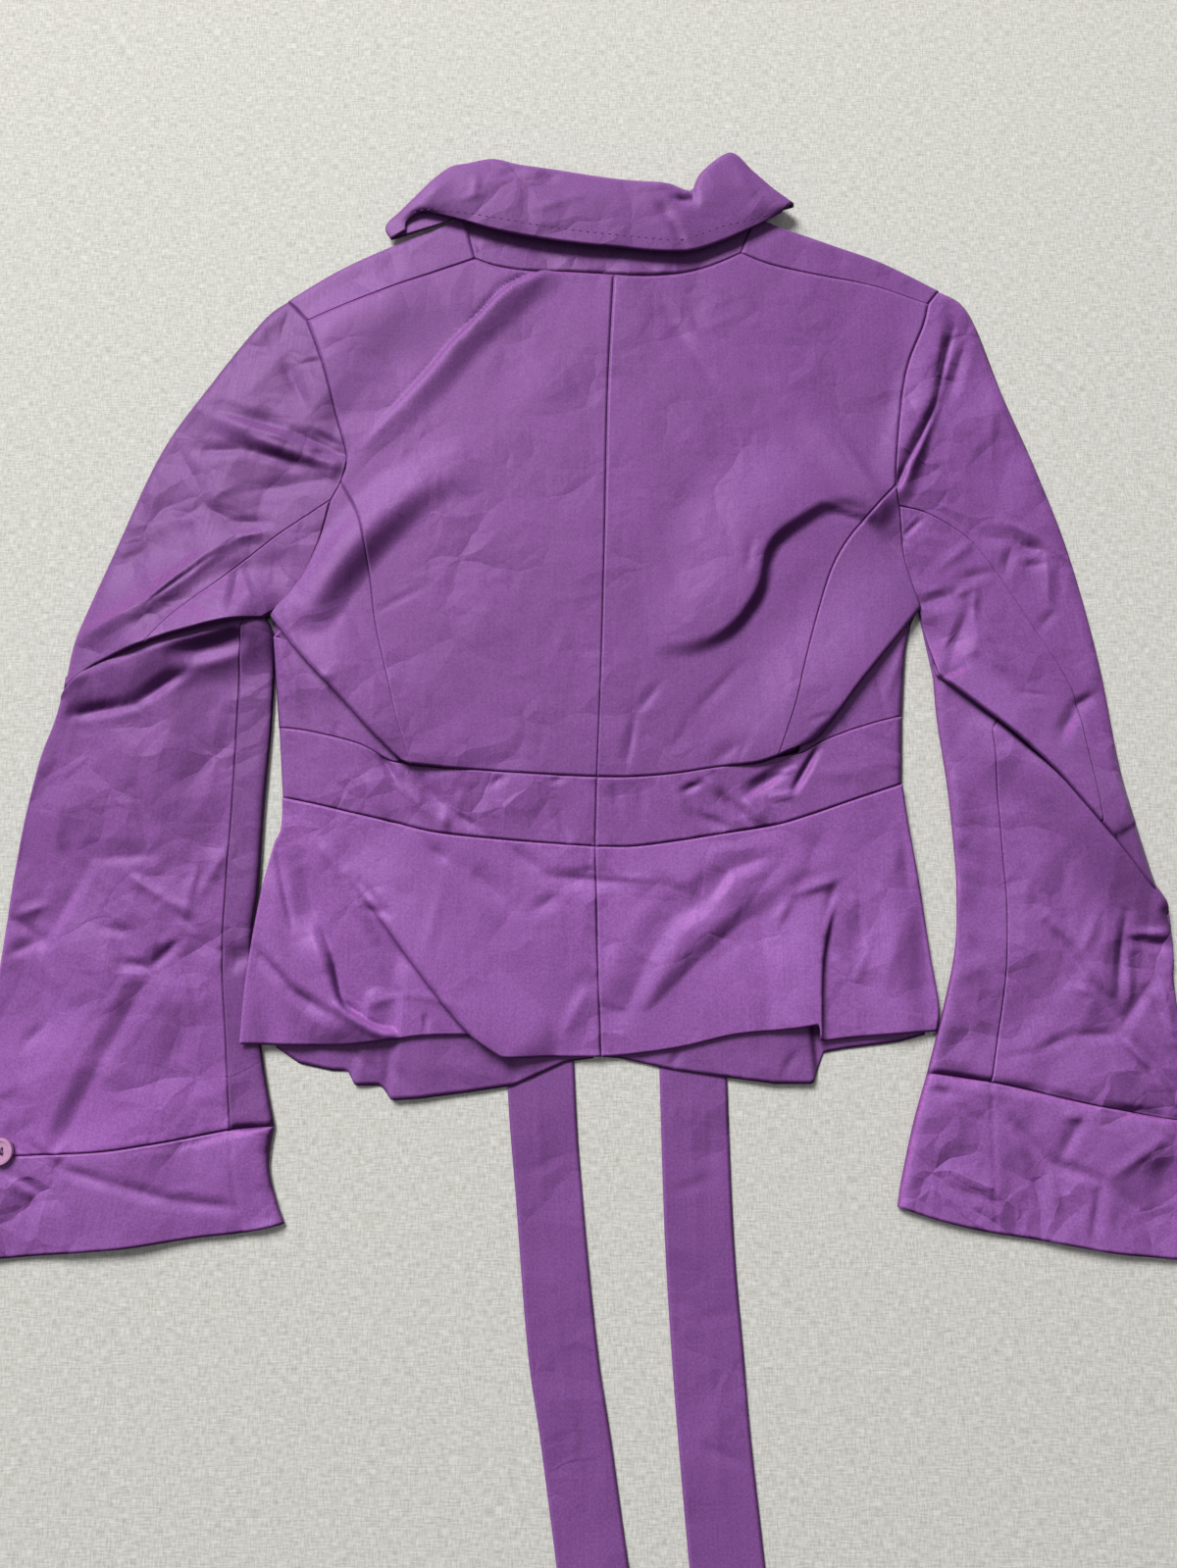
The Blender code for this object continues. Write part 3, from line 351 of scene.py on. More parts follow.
def press(plan, height, folds=(), creases=(), dented=0.0, sewn="", pucker=PUCKER):
    """A panel's points with its folds, creases, its share of small dents, and puckers along its seams."""
    panel = np.dstack([plan, np.zeros(plan.shape[:2]) + height])
    for path, left, right, lean in folds:
        line = smooth(path)
        d, side, along, way = nearest(plan, line[:, :2])
        rise = np.interp(along, reach_along(line[:, :2]), line[:, 2])
        reach = reach_on(side, left, right)
        share = np.where(d < reach, 0.5 + 0.5 * np.cos(np.pi * d / reach), 0)
        panel[..., 2] += rise * share
        panel[..., :2] += (lean * share ** 2 * rise / np.abs(line[:, 2]).max())[..., None] * way
    low, high = plan.min((0, 1)), plan.max((0, 1))
    dents = dented * facets(plan)
    for x0, y0, x1, y1, rise, left, right in creases:
        a, b, far = np.array((x0, y0)), np.array((x1, y1)), max(left, right)
        if (np.maximum(a, b) + far < low).any() or (np.minimum(a, b) - far > high).any():
            continue
        hit = ((plan > np.minimum(a, b) - far) & (plan < np.maximum(a, b) + far)).all(-1)
        d, side, along, _ = nearest(plan[hit], [a, b])
        taper = np.sin(np.pi * np.clip(along / math.dist(a, b), *CREASE_ENDS)) ** CREASE_TAPER
        dents[hit] += rise * taper * np.clip(1 - d / reach_on(side, left, right), 0, 1) ** CREASE_EDGE
    panel[..., 2] += CREASE_MOST * np.tanh(dents / CREASE_MOST)
    for edge in sewn:
        line = {"t": plan[0], "b": plan[-1], "l": plan[:, 0], "r": plan[:, -1]}[edge]
        d = nearest(plan, line[::SEAM_SKIP] if len(line) > SEAM_SKIP ** 2 else line)[0]
        waves = sum(np.sin(plan.sum(-1) / w) for w in PUCKERS)
        panel[..., 2] += pucker * waves * np.exp(-d / PUCKER_REACH)
    return panel


def inset(plan, edges):
    """Draws in the sewn edges by half the slit that shows at a seam."""
    across = plan.swapaxes(0, 1)
    rims = {"t": plan[:2], "b": plan[:-3:-1], "l": across[:2], "r": across[:-3:-1]}
    for edge, (rim, inner) in rims.items():
        if edge in edges:
            step = inner - rim
            rim += SEAM_HALF * step / np.maximum(np.linalg.norm(step, axis=-1, keepdims=True), TINY)
    return plan


def roll(panel, plan, edge, low, radius):
    """Rounds a panel down to a folded edge."""
    d = nearest(plan, edge)[0]
    panel[..., 2] = low + (panel[..., 2] - low) * np.sqrt(1 - (1 - np.clip(d / radius, 0, 1)) ** 2)
    return panel


def ease(share):
    """A share from 0 to 1 that starts and ends gently."""
    return share * share * (3 - 2 * share)


def lift(plan, path, reach):
    """How far a layer rises where another lies beneath it."""
    return LAYER * ease(np.clip((reach + LIFT_FADE - nearest(plan, path)[0]) / LIFT_FADE, 0, 1))


def cloth(node, *grids, flat, share, on, grain=0.0):
    """One panel: a thin wall about its grids, with its grain turned by some degrees, in place of its node.
    flat is the cut's width and length and share how much of that rectangle it fills; neither is used."""
    points, faces, start = [], [], 0
    for grid in grids:
        rows, cols = grid.shape[:2]
        i = np.arange(rows * cols).reshape(rows, cols) + start
        faces.append(np.stack([i[:-1, :-1], i[1:, :-1], i[1:, 1:], i[:-1, 1:]], -1).reshape(-1, 4))
        points.append(grid.reshape(-1, 3))
        start += rows * cols
    points, same = np.unique(np.round(np.concatenate(points), 3), axis=0, return_inverse=True)
    faces = same.reshape(-1)[np.concatenate(faces)]
    name = node + "_cloth"
    mesh = bpy.data.meshes.new(name)
    mesh.from_pydata(points * MM, [], faces)
    mesh.validate()
    bm = bmesh.new()
    bm.from_mesh(mesh)
    bmesh.ops.recalc_face_normals(bm, faces=bm.faces)
    bm.to_mesh(mesh)
    bm.free()
    corners = np.empty(len(mesh.loops), int)
    mesh.loops.foreach_get("vertex_index", corners)
    threads = rotated(points[:, :2], grain) * MM
    mesh.uv_layers.new(name="grain").uv.foreach_set("vector", threads[corners].astype(np.float32).ravel())
    both_sides = node.removesuffix("_left").removesuffix("_right")
    worn, top_tone_and_shade, hem_tone_and_shade = PANELS[node if node in PANELS else both_sides]
    # Painted shade: the tone runs from the top's to the hem's, so an under sleeve is darker towards its top
    down = (points[:, 1].max() - points[:, 1]) / np.ptp(points[:, 1])
    looks = {"crumpled": np.full(len(points), worn), "tone": top_tone_and_shade + (hem_tone_and_shade - top_tone_and_shade) * down ** 2}
    for look, amounts in looks.items():
        mesh.attributes.new(look, "FLOAT", "POINT").data.foreach_set("value", amounts)
    piece = bpy.data.objects.new(name, mesh)
    bpy.context.collection.objects.link(piece)
    faces_of_both = 2 * len(mesh.polygons)
    thick = piece.modifiers.new("wall", "SOLIDIFY")
    thick.thickness, thick.offset = WALL * MM, 0
    bpy.context.view_layer.objects.active = piece
    bpy.ops.object.modifier_apply(modifier=thick.name)
    piece.data.polygons.foreach_set("use_smooth", np.arange(len(piece.data.polygons)) < faces_of_both)
    piece.data.materials.clear()
    piece.data.materials.append(taffeta)
    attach(piece, "root")
    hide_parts(node)
    return piece


for side, cut in CUT.items():
    shoulder, fold = smooth(cut["shoulder"]), smooth(cut["shoulder_fold"])
    plan = fill(shoulder, fold, cut["neck_end"], [shoulder[-1], fold[-1]], CELL)
    strip = press(inset(plan, "tr"), UPPER, BODY_FOLDS, BODY_CREASES, DENTED["body"], "tr")
    strip = roll(strip, plan, fold, EDGE + LAYER / 2, SHOULDER_ROUND)
    armhole = chain(smooth(cut["arm_top"]), smooth(cut["arm_up"]), smooth(cut["front_princess"]))
    front_edge = smooth(cut["front_edge"])
    plan = fill(fold, smooth(cut["front_waist"])[::-1], front_edge, armhole, HIDDEN_CELL,
                cols=plan.shape[1] - 1)
    front = press(plan, LOW, dented=DENTED["body"])
    front[..., 2] = np.maximum(front[..., 2], LOW)
    front[..., 2] += lift(plan, smooth(cut["front_edge"][:LAPEL_POINTS]), LAPEL_REACH)
    front[0] = strip[-1]
    cloth("front_" + side, strip, front, flat=(0.2, 0.39), share=0.6, on=["lapel_%s_cloth" % side, "floor"])

# Lapels: the shawl collar's front runs, hidden beneath the fronts and turned back against them. Plain
# strips sewn along the front edge.
FRONT_STEPS, LAPEL_STEPS = 34, 20  # even steps along the front edge, and those that the lapel takes
for side, cut in CUT.items():
    sewn_edge, edge = even(smooth(cut["front_edge"]), FRONT_STEPS)[:LAPEL_STEPS + 1], smooth(cut["lapel"])
    plan = fill([sewn_edge[0], edge[0]], [sewn_edge[-1], edge[-1]], sewn_edge, edge, HIDDEN_CELL)
    cloth("lapel_" + side, press(plan, LOW), flat=(0.06, 0.28), share=0.52, on=["floor"])

# Side fronts: narrow panels under the arm, on the table, wrapping over the side edge to the side seam and
# running in beneath the back where it blouses over the waist.
SIDE_CREASES = [
    (-187, 120, -170, 72, 0.7, 5, 5), (-172, 96, -160, 66, -0.6, 4, 5), (189, 116, 176, 80, 0.7, 5, 5),
    (170, 100, 176, 72, -0.7, 5, 4),
]
CUT["left"].update(
    arm_jog=[(-152, 218), (-158, 206)],
    arm_low=[(-158, 206), (-164, 180), (-174, 156), (-191, 134)],
    side=[(-191, 134), (-189, 118), (-187, 100), (-183, 64)],
    tuck=[(-184, 130), (-165, 111), (-143, 90), (-121, 66), (-111, 42.5)],
    waist_return=[(-111, 42.5), (-117, 44), (-133, 53), (-149, 58)],
    waist_side=[(-149, 58), (-167, 62), (-183, 64)],
    front_side_waist=[(-135, 52), (-160, 60), (-183, 64)],
    side_seam=[(-148, 66), (-149, 58)])
CUT["right"].update(
    arm_jog=[(187, 215), (190, 202)],
    arm_low=[(190, 202), (191, 176), (194, 157), (199, 138)],
    side=[(199, 138), (193, 124), (189.5, 108), (186, 71)],
    tuck=[(193, 138), (178, 125), (152, 96), (139, 78), (129, 62), (123, 48)],
    waist_return=[(123, 48), (127, 49), (139, 56), (154, 62)],
    waist_side=[(154, 62), (170, 67), (186, 71)],
    front_side_waist=[(140, 56), (165, 65), (186, 71)],
    side_seam=[(150, 76), (154, 62)])
SIDE_ROWS, WRAP_ROW = 60, 12  # rows down the side edge, and the one from which the panel wraps over it
SIDE_ROUND, SIDE_GROOVE, GROOVE_HALF = 4, 0.8, 1.6


def groove(panel, plan, line, depth):
    """Presses a seam's line into a panel."""
    panel[..., 2] -= depth * np.clip(1 - nearest(plan, line)[0] / GROOVE_HALF, 0, 1)


for side, cut in CUT.items():
    edge, tuck = even(smooth(cut["side"]), SIDE_ROWS), even(smooth(cut["tuck"]), SIDE_ROWS)
    arm = chain(smooth(cut["arm_jog"]), smooth(cut["arm_low"]))
    plan = fill(arm, smooth(cut["front_side_waist"]), smooth(cut["front_princess"]), edge, HIDDEN_CELL,
                rows=SIDE_ROWS)
    below = press(plan, LOW)
    waist = chain(smooth(cut["waist_side"])[::-1], smooth(cut["waist_return"])[::-1])
    edge, tuck = edge[WRAP_ROW:], tuck[WRAP_ROW:]
    plan = inset(fill([edge[0], tuck[0]], waist, edge, tuck, CELL, rows=SIDE_ROWS - WRAP_ROW), "b")
    above = press(plan, UPPER, (), SIDE_CREASES, DENTED["side"], "b")
    groove(above, plan, cut["side_seam"], SIDE_GROOVE)
    above = roll(above, plan, edge, EDGE, SIDE_ROUND)
    above[:, 0] = below[WRAP_ROW:, -1] = np.column_stack([edge, np.full(len(edge), EDGE)])
    cloth("side_front_" + side, below, above, flat=(0.1, 0.18), share=0.48, on=["floor"])

# Front waistband and its ties: two flat pieces on the table, and a long flat tie sewn into the lower edge
# of each that runs down out of the picture.
TIE_CREASES = [
    (-29, -140, -24, -230, 0.4, 3, 3), (-20, -250, -8, -330, 0.4, 4, 3), (-36, -190, -14, -182, -0.5, 4, 4),
    (-4, -300, 0, -370, -0.4, 5, 4), (-24, -240, -30, -215, -0.5, 5, 5), (57, -140, 60, -240, 0.4, 3, 3),
    (64, -250, 72, -370, 0.4, 3, 4), (46, -200, 74, -190, -0.6, 5, 5), (52, -268, 82, -262, -0.5, 5, 5),
    (60, -330, 84, -338, -0.5, 5, 5), (70, -150, 66, -210, -0.4, 4, 4), (10, -352, 4, -300, 0.4, 4, 4),
]
CUT["left"].update(
    front_band_low=[(-179, 22), (-113, 7), (-50, -3), (2.8, -7)],
    tie_west=[(-49, -9), (-46, -133), (-40, -206), (-33, -282), (-26, -326), (-17, -387), (-9, -441)],
    tie_east=[(-11, -9), (-8, -133), (-3, -206), (5, -282), (12, -326), (21, -387), (30, -441)])
CUT["right"].update(
    front_band_low=[(184, 30), (128, 11), (51, -4), (3.2, -7)],
    tie_west=[(38, -9), (40, -133), (42, -222), (45, -282), (48, -326), (53, -387), (58, -441)],
    tie_east=[(76, -9), (78, -133), (80, -222), (84, -282), (87, -326), (93, -387), (98, -441)])
TIE_LIFT = 0.3
for side, cut in CUT.items():
    top = chain(smooth(cut["front_side_waist"])[::-1], smooth(cut["front_waist"]))
    low = smooth(cut["front_band_low"])
    plan = inset(fill(top, low, [top[0], low[0]], [top[-1], low[-1]], HIDDEN_CELL), "tblr")
    cloth("waistband_front_" + side, press(plan, LOW), flat=(0.2, 0.045), share=0.83, on=["floor"])
    west, east = smooth(cut["tie_west"]), smooth(cut["tie_east"])
    plan = fill([west[0], east[0]], [west[-1], east[-1]], west, east, CELL)
    tie = press(plan, LOW + TIE_LIFT, (), TIE_CREASES, DENTED["tie"])
    tie[..., 2] = np.maximum(tie[..., 2], LOW)
    cloth("tie_" + side, tie, flat=(0.04, 0.44), share=0.97, on=["floor"])

# Front peplum: the flared skirt's front half beneath, whose pleats show below the back's hem. Sewn to the
# front waistband and lying over the tie.
CUT["left"].update(
    front_peplum_side=[(-179, 22), (-177, -7), (-178, -77), (-177, -121)],
    front_hem=[(-177, -121), (-163, -130), (-144, -134), (-136, -134), (-131, -142), (-117, -142),
               (-110, -150), (-94, -149), (-70, -146), (-42, -142), (-13, -129), (2.8, -127)],
    front_peplum_middle=[(2.8, -7), (2.8, -127)])
CUT["right"].update(
    front_peplum_side=[(184, 30), (186, -20), (190, -72), (191, -114)],
    front_hem=[(191, -114), (176, -118), (144, -122), (133, -124), (126, -141), (105, -141), (74, -137),
               (46, -133), (18, -127), (3.2, -126)],
    front_peplum_middle=[(3.2, -7), (3.2, -126)])
TIE_REACH = 30  # how far off the tie's middle the skirt is lifted by it
FRONT_PEPLUM_FOLDS = [
    ([(-110, -152, 3.4), (-104, -90, 3)], 5, 70, 0), ([(-131, -144, 2.2), (-124, -95, 2)], 5, 18, 0),
    ([(126, -143, 3.4), (122, -90, 3)], 60, 5, 0),
]
FRONT_PEPLUM_CREASES = [
    (-118, -125, -97, -146, -0.9, 5, 6), (-134, -121, -117, -139, -1.5, 4, 4),
    (-45, -125, -40, -139, -1.6, 5, 4), (-123, -132, -117, -139, 0.9, 4, 4),
    (-34, -128, -31, -137, 1.0, 4, 4), (-118, -122, -116, -139, 1.0, 6, 3),
    (-103, -129, -53, -136, 0.6, 12, 12), (52, -121, 47, -132, -1.4, 4, 4),
    (119, -123, 108, -136, -1.1, 4, 5), (113, -125, 104, -140, 0.6, 6, 5), (26, -125, 36, -131, -0.8, 4, 4),
    (77, -127, 111, -135, 0.4, 10, 10),
]


def front_peplum_height(plan, cut):
    """How high the front peplum lies, over the tie and with its pleats."""
    tie = (np.array(cut["tie_west"]) + np.array(cut["tie_east"])) / 2
    return press(plan, LOW + lift(plan, tie, TIE_REACH), FRONT_PEPLUM_FOLDS)[..., 2]


for side, cut in CUT.items():
    hem, low = np.array(cut["front_hem"], float), smooth(cut["front_band_low"])
    plan = inset(fill(low, hem, smooth(cut["front_peplum_side"]), cut["front_peplum_middle"], CELL), "tr")
    skirt = press(plan, front_peplum_height(plan, cut), (), FRONT_PEPLUM_CREASES, DENTED["peplum"])
    skirt[..., 2] = np.maximum(skirt[..., 2], LOW)
    cloth("peplum_front_" + side, skirt, flat=(0.21, 0.16), share=0.77, on=["tie_%s_cloth" % side, "floor"])

# Sleeves: a top sleeve that goes round the outside and beneath, and an under sleeve that shows from the
# back seam to the armpit and down the forearm. The upper arm folds over at the elbow and hides its turn.
CUT["left"].update(
    back_seam=[(-158, 206), (-179, 191), (-198, 176), (-220, 156), (-248, 131), (-262, 114)],
    cap_edge=[(-190, 340), (-205, 327), (-234, 286), (-263, 239), (-287, 176), (-307, 119), (-311, 88)],
    arm_pit=[(-191, 134), (-194, 131)],
    elbow_inner=[(-262, 114), (-248, 119), (-222, 126), (-194, 131)],
    elbow_outer=[(-262, 114), (-290, 103), (-311, 88)],
    forearm_edge=[(-313, 80), (-316, 66), (-323, 42), (-330, -2), (-335, -67), (-339, -111), (-346, -180)],
    forearm_top=[(-313, 80), (-292, 95), (-250, 111), (-208, 118)],
    inseam=[(-208, 118), (-208, 74), (-208, 22), (-209, -22), (-209, -68), (-205, -113), (-200, -166)],
    forearm_inner=[(-194, 131), (-188.5, 116), (-188, 69), (-190, 16), (-191, -32), (-193, -67), (-184, -128),
                   (-176, -164)],
    cuff_seam=[(-346, -180), (-324, -180), (-274, -178), (-244, -174), (-226, -171), (-200, -166)],
    cuff_seam_inner=[(-200, -166), (-176, -164)],
    elbow_turn=(2, 15), grain=-8)
CUT["right"].update(
    back_seam=[(190, 202), (206, 198), (222, 189), (234, 179), (248, 159), (261, 136), (283, 97), (291, 70),
               (294, 7)],
    cap_edge=[(222, 347), (235, 339), (244, 322), (257, 279), (277, 222), (292, 171), (305, 104), (314, 29),
              (329, -38)],
    arm_pit=[(199, 138), (206, 96)],
    elbow_inner=[(294, 7), (270, 37), (246, 61), (206, 96)],
    elbow_outer=[(294, 7), (305, -7), (329, -38)],
    forearm_edge=[(332, -46), (334, -58), (334, -73), (333, -85), (335, -109), (341, -135), (348, -163)],
    forearm_top=[(332, -46), (301, -14), (266, 30), (236, 62)],
    inseam=[(236, 62), (238, 40), (240, -15), (241, -39), (239, -70), (235, -99), (226, -140)],
    forearm_inner=[(206, 96), (207, 69), (211, 29), (213, -10), (213, -35), (209, -73), (191, -135)],
    cuff_seam=[(348, -163), (318, -159), (275, -151), (245, -144), (226, -140)],
    cuff_seam_inner=[(226, -140), (191, -135)],
    elbow_turn=(12, 14), grain=10)
ARM_FOLDS = [
    ([(-176, 186, 0), (-205, 174, 1.5), (-235, 164, 3), (-266, 140, 3.6), (-300, 118, 2)], 16, 30, 0),
    ([(-262, 114, 6), (-216, 127, 9)], 52, 14, 0),
    ([(-285, 104, 2), (-276, 108, 2)], 36, 12, 0),
    ([(-158, 228, 2), (-195, 245, 3.5), (-240, 265, 0)], 12, 12, 0),
    *SHOULDER_FOLDS,
    ([(214, 90, 6), (246, 61, 10), (294, 7, 9.5), (303, -5, 7), (320, -26, 4)], 46, 12, 0),
    ([(200, 146, 2), (230, 118, 4), (265, 88, 0)], 16, 16, 0),
]
ARM_CREASES = [
    (-228, 264, -183, 250, -2.2, 9, 5), (-183, 250, -150, 236, -2.0, 7, 3),
    (-208, 250, -174, 237, -1.5, 6, 5), (-174, 237, -150, 235, -1.6, 5, 5),
    (-242, 239, -208, 239, -1.4, 8, 7), (-208, 239, -154, 224, -1.9, 7, 7),
    (-171, 252, -152, 242, -1.2, 3, 5), (-180, 296, -166, 298, -1.0, 3, 3),
    (-192, 298, -174, 266, -0.7, 6, 5), (-254, 242, -236, 208, -0.9, 7, 6),
    (-236, 203, -219, 194, -0.8, 5, 6), (-219, 193, -195, 192, -1.0, 5, 6),
    (-233, 206, -217, 215, 0.5, 6, 5), (-236, 202, -251, 194, -0.6, 5, 6),
    (-241, 192, -244, 182, -0.4, 5, 5), (-210, 212, -155, 221, -1.1, 8, 8),
    (-197, 185, -215, 182, 1.6, 7, 6), (-215, 182, -241, 162, 2.0, 9, 8),
    (-241, 162, -264, 139, 2.2, 10, 8), (-264, 139, -304, 117, 1.8, 9, 9),
    (-228, 169, -263, 138, -0.9, 3, 3), (-212, 161, -213, 134, -2.2, 10, 5),
    (-212, 162, -199, 140, 0.9, 5, 6), (-206, 159, -200, 143, -0.7, 5, 5),
    (-240, 148, -216, 136, 0.6, 6, 5), (-288, 167, -267, 174, -0.4, 7, 7),
    (-203, 324, -198, 309, -0.5, 6, 6), (-237, 268, -256, 242, -0.5, 9, 9),
    (229, 319, 215, 268, -2.7, 3, 8), (215, 268, 194, 229, -4.4, 3, 7), (194, 229, 188, 214, -3.7, 3, 5),
    (236, 310, 224, 272, -2.4, 7, 8), (251, 277, 248, 228, 0.6, 6, 7), (251, 276, 268, 240, 0.5, 3, 5),
    (250, 296, 255, 280, -0.8, 5, 5), (252, 193, 277, 180, 1.1, 5, 6), (277, 180, 288, 168, 1.0, 5, 5),
    (236, 184, 260, 181, -1.7, 9, 8), (262, 179, 275, 174, -2.0, 5, 8), (258, 178, 252, 160, -1.5, 6, 6),
    (278, 172, 277, 138, 1.1, 7, 7), (265, 164, 278, 166, -1.2, 5, 5), (213, 163, 236, 182, 0.9, 6, 6),
    (226, 156, 245, 161, -1.2, 6, 6), (191, 182, 204, 195, -1.7, 3, 3), (186, 183, 194, 178, -1.4, 3, 3),
    (200, 140, 219, 146, -3.4, 6, 10), (220, 145, 233, 151, 0.9, 5, 5), (233, 149, 231, 125, 1.3, 5, 6),
    (228, 136, 212, 97, -3.1, 12, 6), (223, 100, 204, 89, -2.7, 3, 9), (232, 110, 248, 96, 0.6, 5, 6),
    (252, 84, 274, 83, -0.7, 3, 3), (255, 73, 270, 75, 0.4, 3, 3), (287, 76, 301, 84, -2.0, 5, 6),
    (275, 55, 290, 76, -2.4, 8, 6), (291, 71, 297, 58, 0.7, 5, 6), (271, 125, 281, 136, -1.0, 6, 6),
    (236, 117, 249, 111, -1.0, 7, 7),
]
FOREARM_FOLDS = [
    ([(-300, 92, 1.5), (-262, 108, 3), (-222, 120, 4), (-205, 124, 3)], 8, 30, 0),
    ([(-252, 108, 0), (-230, 112, -5), (-212, 118, -4)], 8, 12, 0),
    ([(215, 84, 0), (240, 58, 5), (270, 30, 6), (296, 0, 5.5), (318, -28, 3.4), (333, -60, 1)], 10, 32, 0),
    ([(-262, 80, 2), (-270, -30, 3), (-268, -176, 2.4), (-260, -228, 2)], 52, 46, 0),
    ([(262, 30, 2), (276, -60, 3), (288, -150, 2.4), (282, -228, 2)], 46, 42, 0),
]
FOREARM_CREASES = [
    (-305, 71, -268, 78, -2.9, 7, 6), (-268, 78, -239, 98, -2.9, 8, 6),
    (-318, -119, -306, -107, -1.4, 6, 5), (-265, 26, -254, -11, -0.7, 9, 4),
    (-253, -12, -287, -14, -2.2, 6, 11), (-287, -14, -310, -59, -3.5, 7, 14),
    (-310, -59, -332, -69, -1.6, 6, 7), (-266, -23, -241, -39, 1.4, 5, 6),
    (-241, -39, -226, -45, 1.1, 5, 5), (-226, -13, -231, -45, 1.4, 5, 5), (-210, -7, -225, -37, 1.1, 6, 5),
    (-277, -54, -261, -57, -1.3, 5, 5), (-265, -74, -250, -76, -1.9, 5, 6),
    (-250, -76, -234, -61, -2.2, 5, 6), (-234, -47, -226, -54, -1.1, 4, 4),
    (-251, -83, -275, -131, -3.5, 43, 11), (-275, -131, -297, -182, -3.4, 43, 11),
    (-235, -69, -226, -95, 1.1, 6, 6), (-228, -94, -222, -126, 0.5, 5, 6),
    (-335, -45, -311, -63, -1.4, 6, 6), (-315, -67, -302, -91, 1.3, 7, 6),
    (-329, -47, -310, -40, 1.1, 6, 6), (-209, -67, -194, -69, -3.8, 4, 5),
    (-206, -77, -194, -69, -2.4, 5, 5), (-304, 68, -309, 37, 0.6, 6, 6), (-308, 37, -308, -4, 0.5, 6, 7),
    (-306, -4, -297, -24, -1.3, 7, 7), (-204, -117, -187, -131, -0.5, 6, 6),
    (-214, -144, -236, -171, 0.5, 8, 8), (-261, -33, -247, -57, -0.6, 5, 5),
    (-324, -131, -310, -158, 0.5, 7, 7), (276, 49, 288, 71, -1.9, 6, 8), (211, -9, 238, -22, -1.8, 6, 6),
    (215, 2, 237, 5, -1.1, 5, 5), (222, -12, 239, -25, 1.1, 5, 5), (215, -24, 237, -33, -1.3, 6, 6),
    (214, -63, 228, -71, -1.9, 7, 6), (203, -86, 228, -71, 1.3, 7, 7), (212, -47, 214, -62, -1.3, 5, 5),
    (260, -43, 279, -66, 1.8, 6, 6), (279, -66, 299, -94, 1.9, 6, 6), (262, -52, 281, -78, -1.6, 6, 5),
    (280, -80, 301, -108, -1.9, 6, 5), (292, -45, 280, -69, 1.4, 6, 6), (308, -45, 300, -94, -2.2, 7, 6),
    (309, -60, 335, -65, -2.2, 5, 6), (309, -58, 335, -56, 1.4, 5, 5), (307, -63, 307, -95, 1.3, 5, 6),
    (322, -83, 301, -110, -2.2, 6, 7), (326, -83, 330, -117, 1.4, 6, 6), (318, -90, 328, -108, -1.3, 5, 5),
    (255, -122, 273, -114, -1.6, 5, 6), (273, -114, 300, -114, -1.6, 5, 6),
    (231, -127, 255, -123, -0.5, 4, 4), (300, -115, 317, -135, 2.6, 6, 4),
    (317, -135, 329, -156, 2.2, 6, 4), (305, -114, 330, -144, -1.9, 5, 4), (287, -92, 274, -87, 1.1, 5, 5),
    (279, -14, 278, -33, 0.5, 5, 5), (250, -90, 258, -112, -0.6, 6, 6), (211, 5, 212, -14, -0.6, 4, 4),
    (245, -14, 256, -28, -0.5, 6, 6), (-200, -167, -176, -161, -3.2, 5, 4),
    (-226, -174, -200, -167, -2.2, 5, 4), (-281, -179, -226, -174, -0.6, 4, 4),
    (-292, -187, -261, -195, -2.1, 6, 6), (-261, -195, -229, -204, -1.9, 6, 6),
    (-229, -204, -195, -207, -1.6, 6, 6), (-324, -188, -302, -200, -1.6, 6, 5),
    (-320, -191, -305, -202, 1.4, 5, 5), (-311, -173, -297, -184, -1.4, 5, 5),
    (-297, -184, -291, -202, -0.6, 5, 5), (-297, -184, -290, -170, 1.1, 5, 5),
    (-310, -210, -319, -221, 0.5, 5, 5), (-234, -200, -216, -197, 0.5, 4, 4),
    (-179, -194, -173, -206, -1.3, 5, 5), (-187, -220, -167, -215, 1.1, 5, 5),
    (191, -134, 226, -141, -2.4, 5, 5), (226, -141, 256, -146, -2.4, 5, 5),
    (256, -146, 283, -153, -2.6, 5, 5), (283, -153, 328, -160, -2.6, 5, 5),
    (237, -161, 255, -184, -2.2, 6, 6), (276, -159, 262, -182, -2.1, 5, 7),
    (264, -158, 277, -159, 1.3, 5, 5), (255, -183, 283, -193, -2.7, 6, 5),
    (256, -186, 256, -214, 1.6, 7, 6), (283, -193, 276, -226, -1.9, 6, 5),
    (283, -193, 324, -169, 1.3, 6, 6), (287, -195, 306, -210, -0.6, 5, 5),
    (232, -162, 244, -182, 1.1, 6, 6), (246, -191, 254, -208, -1.3, 7, 7),
    (191, -144, 204, -147, -1.8, 5, 5), (198, -149, 223, -163, -0.6, 5, 5),
    (204, -196, 227, -207, -1.1, 6, 6), (291, -162, 313, -182, 0.5, 6, 6),
    (303, -158, 323, -171, -1.1, 5, 5), (208, -180, 221, -182, 0.4, 5, 5),
    (269, -215, 291, -226, 0.5, 6, 6),
]
ELBOW_REACH, ELBOW_RISE = 34, 4.0  # how far off and how much the sleeve comes up to its elbow fold
ARM_ROUND, INNER_ROUND, FOREARM_ROUND = 7, 6, 8
TURN = [(1.0, 0.8), (1.2, 2.0), (0.4, 3.2), (-2.0, 4.2), (-6.0, 5.0)]  # over a fold: out, and down
TURN_FROM = 6  # rows at a panel's end that give the way over its fold


def elbow_rise(plan, elbow):
    """How far the sleeve is raised near its elbow fold."""
    return ELBOW_RISE * (1 - np.clip(nearest(plan, elbow)[0] / ELBOW_REACH, 0, 1)) ** 2


